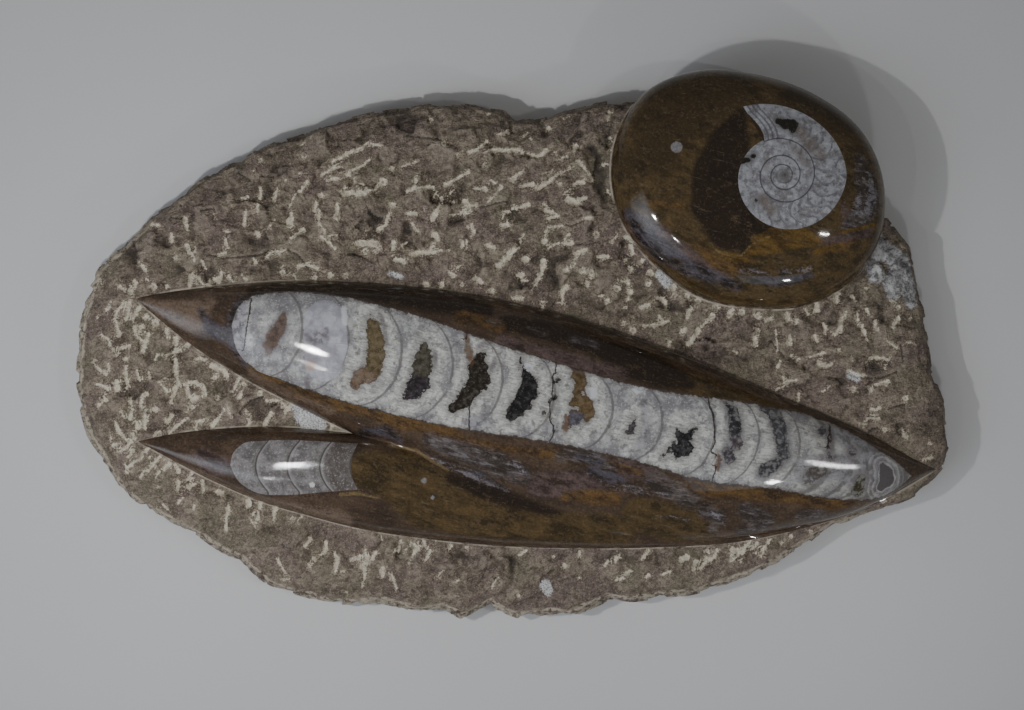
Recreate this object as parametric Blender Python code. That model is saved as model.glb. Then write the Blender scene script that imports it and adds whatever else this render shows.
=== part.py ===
"""A polished orthoceras plate.

A slab of fossil limestone, sawn flat underneath and point-chiselled on top. Two boat-shaped
ridges that run into each other, and a round button that overhangs one corner, stand up from the
chiselled field and are polished. Three chambered shells lie flush in the polish, each in the
pocket that it fills: a large orthoceras, a small one and a goniatite.

The slab rests on its sawn face at z = 0. Its length runs along X, with the pointed end of the
large shell towards +X and the button towards +Y, and its middle stands over the origin.
Lengths are in millimetres until a finished mesh is scaled to metres.
"""

import math

import bmesh
import bpy
import numpy as np
from mathutils import Vector, noise

MM = 0.001
GAP = 0.3  # between a shell and its pocket

# Heights above the sawn face.
FIELD = 24.0  # the chiselled field
ROOT = 12.0  # where the ridges and the button end, inside the slab
ABOVE = 60.0  # clear of everything
SHOULDER_DROP, SHOULDER_WIDTH = 5.0, 15.0  # the field falls away towards the slab's edge
SWELL, SWELL_SIZE = 1.6, 48.0  # its slow rise and fall
LUMP, LUMP_SIZE = 0.8, 15.0  # its broken surface

# The slab in plan, at its widest, clockwise from the west. Its edge is broken and angular.
SLAB_EDGE = [
    (-194, -18), (-192, 9), (-185, 33), (-167, 50), (-148, 66), (-126, 80), (-95, 94),
    (-56, 104), (-13, 107), (-4, 105), (1, 101), (13, 101), (57, 109), (72, 109), (85, 113),
    (104, 112), (121, 107), (137, 98), (149, 87), (157, 74), (165, 58), (177, 44), (183, 12),
    (187, -13), (192, -26), (194, -44), (192, -54), (179, -67), (158, -74), (144, -79),
    (121, -93), (104, -103), (82, -109), (43, -113), (26, -121), (15, -119), (2, -121),
    (-10, -115), (-23, -121), (-31, -117), (-41, -118), (-58, -114), (-73, -115), (-94, -111),
    (-110, -105), (-121, -95), (-147, -80), (-170, -67), (-189, -40),
]
CHIP, CHIP_SIZE = 1.3, 14.0
# The slab's side as rings below its brim: height, and how far in from the widest outline.
SIDE = [(14.5, 0.7), (10.0, 0.0), (5.0, 1.4), (0.0, 4.5)]
BRIM_INSET = 2.5

# The polished ridges in plan, from west to east. The two meet in a notch, and east of it
# the inner edges run on under the polish, where the sides of the ridges cross.
NOTCH = (-70, -38.5)
WEST_TIP, WEST_TIP_SMALL, EAST_TIP = (-166.5, 21), (-165, -42), (187.5, -54.5)
LARGE_NORTH = [
    WEST_TIP, (-146, 24.5), (-122, 27), (-97.5, 28.5), (-71, 28), (-40.5, 25.5), (-5, 20),
    (21.5, 14), (47.5, 5.5), (100.5, -15), (153.5, -37), EAST_TIP,
]
LARGE_CREST = [
    WEST_TIP, (-135, 15.5), (-92, 7.5), (-48, -3), (-5, -17), (38, -29), (82, -39.5),
    (138, -50), EAST_TIP,
]
LARGE_SOUTH = [
    WEST_TIP, (-146, 4), (-117.5, -14.5), (-99.5, -24), NOTCH, (-49, -47), (-27, -59),
    (-5, -70), (21.5, -79.5), (47.5, -84.5), (82.5, -86), (126.5, -79.5), (148.5, -74),
    (166, -66.5), EAST_TIP,
]
SMALL_NORTH = [
    WEST_TIP_SMALL, (-148, -38.5), (-130.5, -36.5), (-110.5, -35.5), (-88.5, -36.5), NOTCH,
    (-49, -41.5), (-14, -52), (21.5, -62), (60, -71), (126, -73), EAST_TIP,
]
SMALL_CREST = [
    WEST_TIP_SMALL, (-139.5, -48), (-122, -52), (-68, -52), (-26, -66), (21, -77),
    (82, -81.5), (147, -71.5), EAST_TIP,
]
SMALL_SOUTH = [
    WEST_TIP_SMALL, (-130.5, -60), (-110.5, -68.5), (-88.5, -75), (-66.5, -80.5),
    (-40.5, -84.5), (-5, -88), (30, -89), (65.5, -88.5), (100.5, -86), (127, -80.5),
    (149, -74), (166.5, -66.5), EAST_TIP,
]
VALLEY = [
    NOTCH, (-57.5, -41.5), (-31, -54), (-14, -61.5), (3.5, -66), (38.5, -73.5), (82.5, -77),
    (126, -74.5), (156.5, -66.5), EAST_TIP,
]
# Heights of the crests over the edges of the ridges, by x, and of the edges themselves.
LARGE_RISE = [
    (-166.5, 0), (-155, 3), (-142, 6), (-133, 8.8), (-126, 11.8), (-120, 14), (-111, 16),
    (-101, 17.2), (-90, 18), (-78, 18.6), (-62, 18.9), (0, 18.7), (90, 18.2), (112, 17.5),
    (127, 16.2), (142, 14.4), (157, 12.5), (170, 9), (181, 4.6), (187.5, 0),
]
SMALL_RISE = [
    (-165, 0), (-155, 2.6), (-142, 5), (-131, 7.3), (-122, 9.3), (-113, 10.8), (-104, 11.8),
    (-94, 12.5), (-82, 12.9), (-69, 13), (-27, 12), (17, 10), (61, 6), (90, 2), (110, 0),
    (187.5, 0),
]
RIDGE_BASE = [(-166.5, 23.5), (-120, FIELD), (120, FIELD), (160, 22.5), (187.5, 19)]
FLANK = (2.4, 0.62)  # a side falls as (1 - q ** 2.4) ** 0.62, q running from crest to edge

# The button: its outline around its middle, its rim's height, its crown and its root.
BUTTON_MIDDLE = (104.5, 69)
BUTTON_EDGE = [
    (43.5, 72.5), (46, 92.5), (57, 110), (83.5, 121), (104.5, 119.5), (133, 110), (155.5, 91),
    (163.5, 66), (158.5, 40.5), (137, 20.5), (104.5, 16.5), (83, 21), (62, 36), (48, 55),
]
BUTTON_RIM, BUTTON_CROWN, BUTTON_ROOT = 26.0, 21.0, 14.0
BUTTON_ROUNDNESS = 2.6  # the power of its superellipse section

# The shells. A straight shell is given by its two long edges from its west to its east end.
LARGE_SHELL_NORTH = [
    (-122, 9), (-119.5, 16), (-114.5, 21), (-107, 23), (-87.5, 23.5), (-70, 21), (-48.5, 15.5),
    (3.5, -2), (56, -17.5), (108, -25.5), (129.5, -30), (147, -37), (160, -45), (169, -51),
    (175.5, -57),
]
LARGE_SHELL_SOUTH = [
    (-122, 9), (-120.5, 0), (-114.5, -8.5), (-100.5, -15), (-79, -22.5), (-31, -34.5),
    (21, -43), (47, -48.5), (88, -59.5), (108, -61.5), (147, -67.5), (160, -67), (169, -63),
    (175.5, -57),
]
SMALL_SHELL_NORTH = [(-123, -52), (-121.5, -46.5), (-117, -42.5), (-108.5, -41.5), (-67, -42.5)]
SMALL_SHELL_SOUTH = [
    (-123, -52), (-119, -59.5), (-112, -64), (-98.5, -65), (-83.5, -63.8), (-67, -62.5),
]
SMALL_SHELL_BOW = 3.0  # its open end curves in by this much
LARGE_SHELL_WALL, SMALL_SHELL_WALL = 8.0, 5.5  # from the crest down to where the bowl starts
BOWL = 0.4  # depth of a straight shell's bowl over its half width

# The goniatite: a spiral whose radius doubles with each turn, and flattens over the last third.
SPIRAL_MIDDLE = (117, 73.5)
SPIRAL_MOUTH = math.radians(120)  # where the outer whorl ends
SPIRAL_REACH = 34.8  # its radius there
SPIRAL_FLATTENING, SPIRAL_FLAT_ARC = 0.105, math.radians(125)
SPIRAL_FLOOR = [(37.5, 0.9), (35.0, 0.6)]  # rings of its bowl: height, and share of the radius
SPIRAL_WALL = 40.0  # the height at which its bowl starts


def smooth_line(points):
    """A smooth curve of y over x through points in order of x, as a function."""
    xs, ys = np.array(points, float).T
    slopes = np.gradient(ys, xs)

    def at(x):
        i = int(np.clip(np.searchsorted(xs, x) - 1, 0, len(xs) - 2))
        span = xs[i + 1] - xs[i]
        t = min(max((x - xs[i]) / span, 0.0), 1.0)
        s = t * t * (3 - 2 * t)
        bend = span * (slopes[i] * t * (1 - t) ** 2 - slopes[i + 1] * t * t * (1 - t))
        return float(ys[i] * (1 - s) + ys[i + 1] * s + bend)

    return at


def course(points):
    """A smooth path in plan through points, as a function of the share of its length."""
    steps = [math.dist(a, b) for a, b in zip(points, points[1:])]
    shares = np.concatenate([[0], np.cumsum(steps)]) / sum(steps)
    x_at = smooth_line([(s, p[0]) for s, p in zip(shares, points)])
    y_at = smooth_line([(s, p[1]) for s, p in zip(shares, points)])
    return lambda share: Vector((x_at(share), y_at(share)))


def polar(points, middle=(0, 0)):
    """Angles and radii of an outline around its middle, run on past a full turn each way."""
    arms = [(math.atan2(y - middle[1], x - middle[0]), math.dist((x, y), middle)) for x, y in points]
    arms.sort()
    turn = math.tau
    return [(a - turn, r) for a, r in arms[-3:]] + arms + [(a + turn, r) for a, r in arms[:3]]


SLAB_ANGLES, SLAB_RADII = np.array(polar(SLAB_EDGE)).T
large_north, large_crest, large_south = map(smooth_line, (LARGE_NORTH, LARGE_CREST, LARGE_SOUTH))
small_north, small_crest, small_south = map(smooth_line, (SMALL_NORTH, SMALL_CREST, SMALL_SOUTH))
valley, ridge_base = smooth_line(VALLEY), smooth_line(RIDGE_BASE)
large_rise, small_rise = smooth_line(LARGE_RISE), smooth_line(SMALL_RISE)
button_reach = smooth_line(polar(BUTTON_EDGE, BUTTON_MIDDLE))


def slab_reach(angle):
    """How far the slab's edge lies from its middle, with its chips."""
    along = noise.noise(Vector((math.cos(angle), math.sin(angle), 0)) * 150 / CHIP_SIZE)
    return float(np.interp(angle, SLAB_ANGLES, SLAB_RADII)) + CHIP * along


def field_height(x, y, inward):
    """The chiselled field at a point that lies inward of the slab's edge by so much."""
    place = Vector((x, y, 0))
    swell = SWELL * noise.noise(place / SWELL_SIZE)
    lumps = LUMP * noise.noise(place / LUMP_SIZE)
    shoulder = SHOULDER_DROP * max(0.0, 1 - inward / SHOULDER_WIDTH) ** 2
    return FIELD + swell + lumps - shoulder


def flank(y, south, crest, north):
    """How high one ridge's side stands at y, as a share of its crest's rise."""
    edge = north if y > crest else south
    q = abs(y - crest) / max(abs(edge - crest), 1e-6)
    return max(0.0, 1 - q ** FLANK[0]) ** FLANK[1]


def ridge_height(x, y):
    """The polished surface of the two ridges, which blend where they meet."""
    large = large_rise(x) * flank(y, large_south(x), large_crest(x), large_north(x))
    small = small_rise(x) * flank(y, small_south(x), small_crest(x), small_north(x))
    blend = 0.35 * min(large, small) + 1e-6
    overlap = max(blend - abs(large - small), 0.0) / blend
    return ridge_base(x) + max(large, small, 0.0) + overlap * overlap * blend / 4


def finish(name, mesh, color=None, roughness=0.5):
    """A bmesh in millimetres becomes an object in metres, with its own material."""
    bmesh.ops.scale(mesh, vec=(MM, MM, MM), verts=mesh.verts)
    bmesh.ops.recalc_face_normals(mesh, faces=mesh.faces)
    data = bpy.data.meshes.new(name)
    mesh.to_mesh(data)
    mesh.free()
    piece = bpy.data.objects.new(name, data)
    bpy.context.collection.objects.link(piece)
    if color is None:
        piece.hide_render = True
        piece.display_type = "WIRE"
        return piece
    material = bpy.data.materials.new(name)
    material.use_nodes = True
    shader = material.node_tree.nodes["Principled BSDF"]
    shader.inputs["Base Color"].default_value = (*color, 1)
    shader.inputs["Roughness"].default_value = roughness
    data.materials.append(material)
    return piece


def combine(piece, other, operation):
    """Join another solid to a piece, cut it out of the piece, or keep what both share."""
    cut = piece.modifiers.new(f"{operation.title()} {other.name}", "BOOLEAN")
    cut.operation = operation
    cut.solver = "EXACT"
    cut.object = other


def pull_rim(mesh, rim, place):
    """Extrude an open rim, put its new corners where place says, and give the new rim."""
    made = bmesh.ops.extrude_edge_only(mesh, edges=rim)["geom"]
    for vert in made:
        if isinstance(vert, bmesh.types.BMVert):
            vert.co = place(vert.co)
    return [e for e in made if isinstance(e, bmesh.types.BMEdge) and e.is_boundary]


def open_rim(mesh):
    return [e for e in mesh.edges if e.is_boundary]


def slab():
    """A square grid pulled out to the slab's outline, then carried down its side."""
    mesh = bmesh.new()
    bmesh.ops.create_grid(mesh, x_segments=50, y_segments=32, size=1)
    length, width = 194, 115
    for vert in mesh.verts:
        share = max(abs(vert.co.x), abs(vert.co.y))
        angle = math.atan2(vert.co.y * width, vert.co.x * length)
        reach = slab_reach(angle) - BRIM_INSET
        x, y = share * reach * math.cos(angle), share * reach * math.sin(angle)
        vert.co = (x, y, field_height(x, y, (1 - share) * reach))
    rim = open_rim(mesh)
    for height, inset in SIDE:

        def place(corner, height=height, inset=inset):
            angle = math.atan2(corner.y, corner.x)
            bulge = CHIP * noise.noise(Vector((corner.x, corner.y, height)) / CHIP_SIZE)
            reach = slab_reach(angle) - inset - max(bulge, 0.0)
            return Vector((reach * math.cos(angle), reach * math.sin(angle), height))

        rim = pull_rim(mesh, rim, place)
    bmesh.ops.edgeloop_fill(mesh, edges=rim)
    return finish("matrix", mesh, (0.16, 0.12, 0.095), 0.8)


def ridge_sheet(mesh, west, east, south, north, stations, columns):
    """A grid draped over the ridges between two lines, closer together towards them."""
    made = bmesh.ops.create_grid(mesh, x_segments=stations, y_segments=columns, size=1)["verts"]
    for vert in made:
        x = west + (east - west) * (vert.co.x + 1) / 2
        across = (1 - math.cos(math.pi * (vert.co.y + 1) / 2)) / 2
        y = south(x) + (north(x) - south(x)) * across
        vert.co = (x, y, ridge_height(x, y))


def ridges():
    """Both polished ridges as one solid that reaches down into the slab."""
    mesh = bmesh.new()
    notch, east = NOTCH[0], EAST_TIP[0]
    ridge_sheet(mesh, WEST_TIP[0], notch, large_south, large_north, 14, 9)
    ridge_sheet(mesh, WEST_TIP_SMALL[0], notch, small_south, small_north, 14, 6)
    ridge_sheet(mesh, notch, east, valley, large_north, 26, 9)
    ridge_sheet(mesh, notch, east, small_south, valley, 26, 6)
    bmesh.ops.remove_doubles(mesh, verts=mesh.verts, dist=0.05)
    rim = pull_rim(mesh, open_rim(mesh), lambda corner: Vector((corner.x, corner.y, ROOT)))
    bmesh.ops.edgeloop_fill(mesh, edges=rim)
    return finish("ridges", mesh)


def button():
    """A ball flattened to the button's section and pulled out to its outline."""
    mesh = bmesh.new()
    bmesh.ops.create_uvsphere(mesh, u_segments=48, v_segments=14, radius=1)
    power = 2 / BUTTON_ROUNDNESS
    for vert in mesh.verts:
        out = math.hypot(vert.co.x, vert.co.y)
        angle = math.atan2(vert.co.y, vert.co.x)
        reach = button_reach(angle) * out**power
        height = BUTTON_CROWN if vert.co.z > 0 else -BUTTON_ROOT
        vert.co = (
            BUTTON_MIDDLE[0] + reach * math.cos(angle),
            BUTTON_MIDDLE[1] + reach * math.sin(angle),
            BUTTON_RIM + height * abs(vert.co.z) ** power,
        )
    return finish("button", mesh)


def straight_shell(south, north, wall, bow, stations, columns):
    """The trough of a straight shell, with its walls carried up clear of the polish."""
    mesh = bmesh.new()
    bmesh.ops.create_grid(mesh, x_segments=stations, y_segments=columns, size=1)
    south, north = course(south), course(north)
    for vert in mesh.verts:
        along = (1 - math.cos(math.pi * (vert.co.x + 1) / 2)) / 2
        across = math.sin(math.pi * vert.co.y / 2)
        low, high = south(along), north(along)
        middle, half = (low + high) / 2, (high - low) / 2
        place = middle + half * across
        place.x -= bow * along * (1 - across * across)
        depth = BOWL * half.length * math.sqrt(max(0.0, 1 - across * across))
        height = ridge_height(middle.x, middle.y) - wall - depth
        vert.co = (place.x, place.y, height)
    bmesh.ops.remove_doubles(mesh, verts=mesh.verts, dist=0.05)
    rim = pull_rim(mesh, open_rim(mesh), lambda corner: Vector((corner.x, corner.y, ABOVE)))
    bmesh.ops.edgeloop_fill(mesh, edges=rim)
    bmesh.ops.recalc_face_normals(mesh, faces=mesh.faces)
    return mesh


def spiral_shell():
    """The goniatite: a spiral outline with a bowl below, carried up clear of the polish."""
    mesh = bmesh.new()
    corners = 54
    made = bmesh.ops.create_circle(mesh, cap_ends=False, radius=1, segments=corners)["verts"]
    for i, vert in enumerate(made):
        angle = SPIRAL_MOUTH - math.tau * (1 - i / (corners - 1))
        flat = max(0.0, math.sin(math.pi * angle / SPIRAL_FLAT_ARC)) if angle > 0 else 0.0
        reach = SPIRAL_REACH * 2 ** ((angle - SPIRAL_MOUTH) / math.tau)
        reach *= 1 - SPIRAL_FLATTENING * flat
        vert.co.x = SPIRAL_MIDDLE[0] + reach * math.cos(angle)
        vert.co.y = SPIRAL_MIDDLE[1] + reach * math.sin(angle)
        vert.co.z = ABOVE
    top = list(mesh.edges)
    rim = pull_rim(mesh, top, lambda corner: Vector((corner.x, corner.y, SPIRAL_WALL)))
    rim = [e for e in rim if e not in top]
    middle, taken = Vector(SPIRAL_MIDDLE), 1.0
    for height, share in SPIRAL_FLOOR:
        step, taken = share / taken, share

        def place(corner, height=height, step=step):
            inner = middle + (corner.xy - middle) * step
            return Vector((inner.x, inner.y, height))

        rim = pull_rim(mesh, rim, place)
    bmesh.ops.edgeloop_fill(mesh, edges=rim)
    bmesh.ops.edgeloop_fill(mesh, edges=open_rim(mesh))
    bmesh.ops.recalc_face_normals(mesh, faces=mesh.faces)
    return mesh


def pocket(shell):
    """A copy of a shell, grown by the gap on every side."""
    mesh = shell.copy()
    mesh.normal_update()
    grown = [(v, v.normal * GAP * v.calc_shell_factor()) for v in mesh.verts]
    for vert, step in grown:
        vert.co += step
    return mesh


for old in list(bpy.data.objects):
    bpy.data.objects.remove(old)

matrix, ridge_solid, button_solid = slab(), ridges(), button()
combine(matrix, ridge_solid, "UNION")
combine(matrix, button_solid, "UNION")

CALCITE = (0.52, 0.53, 0.5)
shells = [
    (
        "large_orthoceras",
        straight_shell(LARGE_SHELL_SOUTH, LARGE_SHELL_NORTH, LARGE_SHELL_WALL, 0, 34, 6),
        ridge_solid,
        CALCITE,
    ),
    (
        "small_orthoceras",
        straight_shell(SMALL_SHELL_SOUTH, SMALL_SHELL_NORTH, SMALL_SHELL_WALL, SMALL_SHELL_BOW, 12, 6),
        ridge_solid,
        (0.42, 0.43, 0.42),
    ),
    ("goniatite", spiral_shell(), button_solid, (0.5, 0.5, 0.45)),
]
for name, shell, around, color in shells:
    cutter = finish(f"{name} pocket", pocket(shell))
    combine(matrix, cutter, "DIFFERENCE")
    combine(finish(name, shell, color, 0.15), around, "INTERSECT")
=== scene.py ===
# %% [markdown]
# # A polished orthoceras plate
#
# This lesson dresses a measured model of a fossil plate: a slab of brown limestone, chiselled
# rough on top, out of which two long ridges and a round button have been ground and polished.
# Three shells lie in the polish, cut open so that their chambers show.
#
# The measured model, the frame, already rests on the ground in metres. Every piece below is
# made where the frame says, from the same outlines, so nothing has to be fitted afterwards.

# %% Load the frame
import math
import random

import bmesh
import bpy
import numpy as np
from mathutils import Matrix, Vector, kdtree, noise


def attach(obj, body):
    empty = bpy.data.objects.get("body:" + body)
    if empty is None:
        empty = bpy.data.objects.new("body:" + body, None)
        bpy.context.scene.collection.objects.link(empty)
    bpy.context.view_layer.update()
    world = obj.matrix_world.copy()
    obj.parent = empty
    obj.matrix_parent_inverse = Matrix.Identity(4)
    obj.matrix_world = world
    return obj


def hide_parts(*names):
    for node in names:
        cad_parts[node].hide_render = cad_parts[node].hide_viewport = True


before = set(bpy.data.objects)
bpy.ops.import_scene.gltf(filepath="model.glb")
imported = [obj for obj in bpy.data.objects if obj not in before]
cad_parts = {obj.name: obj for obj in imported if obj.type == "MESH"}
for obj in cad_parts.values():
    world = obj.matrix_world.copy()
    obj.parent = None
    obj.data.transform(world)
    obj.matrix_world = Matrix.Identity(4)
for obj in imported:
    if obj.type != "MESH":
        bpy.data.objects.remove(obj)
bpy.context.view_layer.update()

# %% [markdown]
# ## The camera
#
# A plate like this is drawn and catalogued from straight above. A long lens at about a metre
# keeps the high crest of a ridge from looking much larger than the edge of the slab below it.

# %% The camera, straight above the plate
MM = 0.001
CAMERA_PLACE = (0, -4 * MM, 1.0878)
LENS_MM, SENSOR_MM = 85, 36

view = bpy.data.cameras.new("overhead camera")
view.lens, view.sensor_width = LENS_MM, SENSOR_MM
camera = bpy.data.objects.new("overhead camera", view)
camera.location = CAMERA_PLACE
bpy.context.collection.objects.link(camera)
bpy.context.scene.camera = camera
print("the camera looks down from", camera.location.z, "m")

# %% [markdown]
# ## Curves through a few points
#
# The outlines of the plate are smooth lines through a few measured points, like a spline drawn
# with a flexible batten. A cubic Hermite curve passes through its points and takes its slope at
# each one from the neighbours on both sides. Written for arrays, it answers for a hundred
# thousand mesh corners in one call.


# %% Smooth lines, for one number or a whole array
def smooth_line(points):
    """A smooth curve of y over x through points in order of x, as a function."""
    xs, ys = np.array(points, float).T
    slopes = np.gradient(ys, xs)

    def at(x):
        x = np.clip(x, xs[0], xs[-1])
        i = np.clip(np.searchsorted(xs, x) - 1, 0, len(xs) - 2)
        span = xs[i + 1] - xs[i]
        t = (x - xs[i]) / span
        s = t * t * (3 - 2 * t)
        bend = span * (slopes[i] * t * (1 - t) ** 2 - slopes[i + 1] * t * t * (1 - t))
        return ys[i] * (1 - s) + ys[i + 1] * s + bend

    return at


def course(points):
    """A smooth path in plan through points, as a function of the share of its length."""
    steps = [math.dist(a, b) for a, b in zip(points, points[1:])]
    shares = np.concatenate([[0], np.cumsum(steps)]) / sum(steps)
    x_at = smooth_line([(s, p[0]) for s, p in zip(shares, points)])
    y_at = smooth_line([(s, p[1]) for s, p in zip(shares, points)])
    return lambda share: (x_at(share), y_at(share))


def polar(points, middle=(0, 0)):
    """Angles and radii of an outline around its middle, run on past a full turn each way."""
    arms = [(math.atan2(y - middle[1], x - middle[0]), math.dist((x, y), middle)) for x, y in points]
    arms.sort()
    turn = math.tau
    return [(a - turn, r) for a, r in arms[-3:]] + arms + [(a + turn, r) for a, r in arms[:3]]


print("a batten bent through three points, read between them:", smooth_line([(0, 0), (1, 1), (2, 0)])(0.5))

# %% [markdown]
# ## The outlines
#
# These are the plate's own measures, in millimetres: the broken edge of the slab, the edges and
# crests of the two ridges, and how high each crest stands. East of the notch where the ridges
# meet, each inner edge runs on under the polish, so that the two forms can cross.

# %% The slab and the ridges in plan
FIELD = 24.0
ROOT = 12.0
SHOULDER_DROP, SHOULDER_WIDTH = 5.0, 15.0
SWELL, SWELL_SIZE = 1.6, 48.0
LUMP, LUMP_SIZE = 0.8, 15.0
SLAB_EDGE = [
    (-194, -18), (-192, 9), (-185, 33), (-167, 50), (-148, 66), (-126, 80), (-95, 94),
    (-56, 104), (-13, 107), (-4, 105), (1, 101), (13, 101), (57, 109), (72, 109), (85, 113),
    (104, 112), (121, 107), (137, 98), (149, 87), (157, 74), (165, 58), (177, 44), (183, 12),
    (187, -13), (192, -26), (194, -44), (192, -54), (179, -67), (158, -74), (144, -79),
    (121, -93), (104, -103), (82, -109), (43, -113), (26, -121), (15, -119), (2, -121),
    (-10, -115), (-23, -121), (-31, -117), (-41, -118), (-58, -114), (-73, -115), (-94, -111),
    (-110, -105), (-121, -95), (-147, -80), (-170, -67), (-189, -40),
]
CHIP, CHIP_SIZE = 1.3, 14.0
BRIM_INSET = 2.5

NOTCH = (-70, -38.5)
WEST_TIP, WEST_TIP_SMALL, EAST_TIP = (-166.5, 21), (-165, -42), (187.5, -54.5)
LARGE_NORTH = [
    WEST_TIP, (-146, 24.5), (-122, 27), (-97.5, 28.5), (-71, 28), (-40.5, 25.5), (-5, 20),
    (21.5, 14), (47.5, 5.5), (100.5, -15), (153.5, -37), EAST_TIP,
]
LARGE_CREST = [
    WEST_TIP, (-135, 15.5), (-92, 7.5), (-48, -3), (-5, -17), (38, -29), (82, -39.5),
    (138, -50), EAST_TIP,
]
LARGE_SOUTH = [
    WEST_TIP, (-146, 4), (-117.5, -14.5), (-99.5, -24), NOTCH, (-49, -47), (-27, -59),
    (-5, -70), (21.5, -79.5), (47.5, -84.5), (82.5, -86), (126.5, -79.5), (148.5, -74),
    (166, -66.5), EAST_TIP,
]
SMALL_NORTH = [
    WEST_TIP_SMALL, (-148, -38.5), (-130.5, -36.5), (-110.5, -35.5), (-88.5, -36.5), NOTCH,
    (-49, -41.5), (-14, -52), (21.5, -62), (60, -71), (126, -73), EAST_TIP,
]
SMALL_CREST = [
    WEST_TIP_SMALL, (-139.5, -48), (-122, -52), (-68, -52), (-26, -66), (21, -77),
    (82, -81.5), (147, -71.5), EAST_TIP,
]
SMALL_SOUTH = [
    WEST_TIP_SMALL, (-130.5, -60), (-110.5, -68.5), (-88.5, -75), (-66.5, -80.5),
    (-40.5, -84.5), (-5, -88), (30, -89), (65.5, -88.5), (100.5, -86), (127, -80.5),
    (149, -74), (166.5, -66.5), EAST_TIP,
]
VALLEY = [
    NOTCH, (-57.5, -41.5), (-31, -54), (-14, -61.5), (3.5, -66), (38.5, -73.5), (82.5, -77),
    (126, -74.5), (156.5, -66.5), EAST_TIP,
]
LARGE_RISE = [
    (-166.5, 0), (-155, 3), (-142, 6), (-133, 8.8), (-126, 11.8), (-120, 14), (-111, 16),
    (-101, 17.2), (-90, 18), (-78, 18.6), (-62, 18.9), (0, 18.7), (90, 18.2), (112, 17.5),
    (127, 16.2), (142, 14.4), (157, 12.5), (170, 9), (181, 4.6), (187.5, 0),
]
SMALL_RISE = [
    (-165, 0), (-155, 2.6), (-142, 5), (-131, 7.3), (-122, 9.3), (-113, 10.8), (-104, 11.8),
    (-94, 12.5), (-82, 12.9), (-69, 13), (-27, 12), (17, 10), (61, 6), (90, 2), (110, 0),
    (187.5, 0),
]
RIDGE_BASE = [(-166.5, 23.5), (-120, FIELD), (120, FIELD), (160, 22.5), (187.5, 19)]
FLANK = (2.4, 0.62)

large_north, large_crest, large_south = map(smooth_line, (LARGE_NORTH, LARGE_CREST, LARGE_SOUTH))
small_north, small_crest, small_south = map(smooth_line, (SMALL_NORTH, SMALL_CREST, SMALL_SOUTH))
valley, ridge_base = smooth_line(VALLEY), smooth_line(RIDGE_BASE)
large_rise, small_rise = smooth_line(LARGE_RISE), smooth_line(SMALL_RISE)
slab_angles, slab_radii = np.array(polar(SLAB_EDGE)).T
print("the slab's edge turns through", len(SLAB_EDGE), "corners")

# %% The button in plan
BUTTON_MIDDLE = (104.5, 69)
BUTTON_EDGE = [
    (43.5, 72.5), (46, 92.5), (57, 110), (83.5, 121), (104.5, 119.5), (133, 110), (155.5, 91),
    (163.5, 66), (158.5, 40.5), (137, 20.5), (104.5, 16.5), (83, 21), (62, 36), (48, 55),
]
BUTTON_RIM, BUTTON_CROWN, BUTTON_ROOT = 26.0, 21.0, 14.0
BUTTON_ROUNDNESS = 2.6
button_reach = smooth_line(polar(BUTTON_EDGE, BUTTON_MIDDLE))
print("the button reaches", round(float(button_reach(0)), 1), "mm east of its middle")

# %% [markdown]
# ## The polished surface as a height
#
# A grinder leaves each ridge with a rounded back: nearly level along the crest and steepest at
# the edge. One formula gives the share of the crest's rise that is left at any distance from
# it. Where the ridges run together the higher one wins, with a soft valley between them.


# %% Heights of the ridges, the field and the slab's edge
def flank(y, south, crest, north):
    """How high one ridge's side stands at y, as a share of its crest's rise."""
    edge = np.where(y > crest, north, south)
    q = np.abs(y - crest) / np.maximum(np.abs(edge - crest), 1e-6)
    return np.maximum(0, 1 - q ** FLANK[0]) ** FLANK[1]


def ridge_height(x, y):
    """The polished surface of the two ridges, which blend where they meet."""
    large = large_rise(x) * flank(y, large_south(x), large_crest(x), large_north(x))
    small = small_rise(x) * flank(y, small_south(x), small_crest(x), small_north(x))
    blend = 0.35 * np.minimum(large, small) + 1e-6
    overlap = np.maximum(blend - np.abs(large - small), 0) / blend
    return ridge_base(x) + np.maximum(np.maximum(large, small), 0) + overlap**2 * blend / 4


def noise_at(points, size, seed=0.0, detail=None):
    """Noise between about -1 and 1 at many points, with features of this size."""
    drift = Vector((0, 0, seed))
    if detail is None:
        return np.array([noise.noise(Vector(p) / size + drift) for p in points])
    return np.array([noise.fractal(Vector(p) / size + drift, 1.0, 2.0, detail) for p in points])


def slab_reach(angle):
    """How far the slab's edge lies from its middle, with its chips."""
    circle = np.stack([np.cos(angle), np.sin(angle), 0 * angle], -1) * 150
    return np.interp(angle, slab_angles, slab_radii) + CHIP * noise_at(circle, CHIP_SIZE)


print("crest of the large ridge:", round(float(ridge_height(0.0, large_crest(0.0))), 1), "mm")

# %% [markdown]
# ## From a bmesh to a finished piece
#
# Every piece is built in millimetres and scaled once, at the end. Its object stays at the
# origin, so patterns on object coordinates sit still. The piece then rides on the model's one
# body and stands for the plain solid that it replaces.


# %% Finishing and declaring a piece
CUT_ANGLE = math.radians(38)  # a cut solid's faces that meet more steeply than this keep a hard edge


def to_object(mesh, name):
    """A bmesh becomes an object of that name."""
    data = bpy.data.meshes.new(name)
    mesh.to_mesh(data)
    mesh.free()
    piece = bpy.data.objects.new(name, data)
    bpy.context.collection.objects.link(piece)
    return piece


def corners(piece):
    """The places of a piece's corners as an array."""
    flat = np.empty(len(piece.data.vertices) * 3)
    piece.data.vertices.foreach_get("co", flat)
    return flat.reshape(-1, 3)


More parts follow.
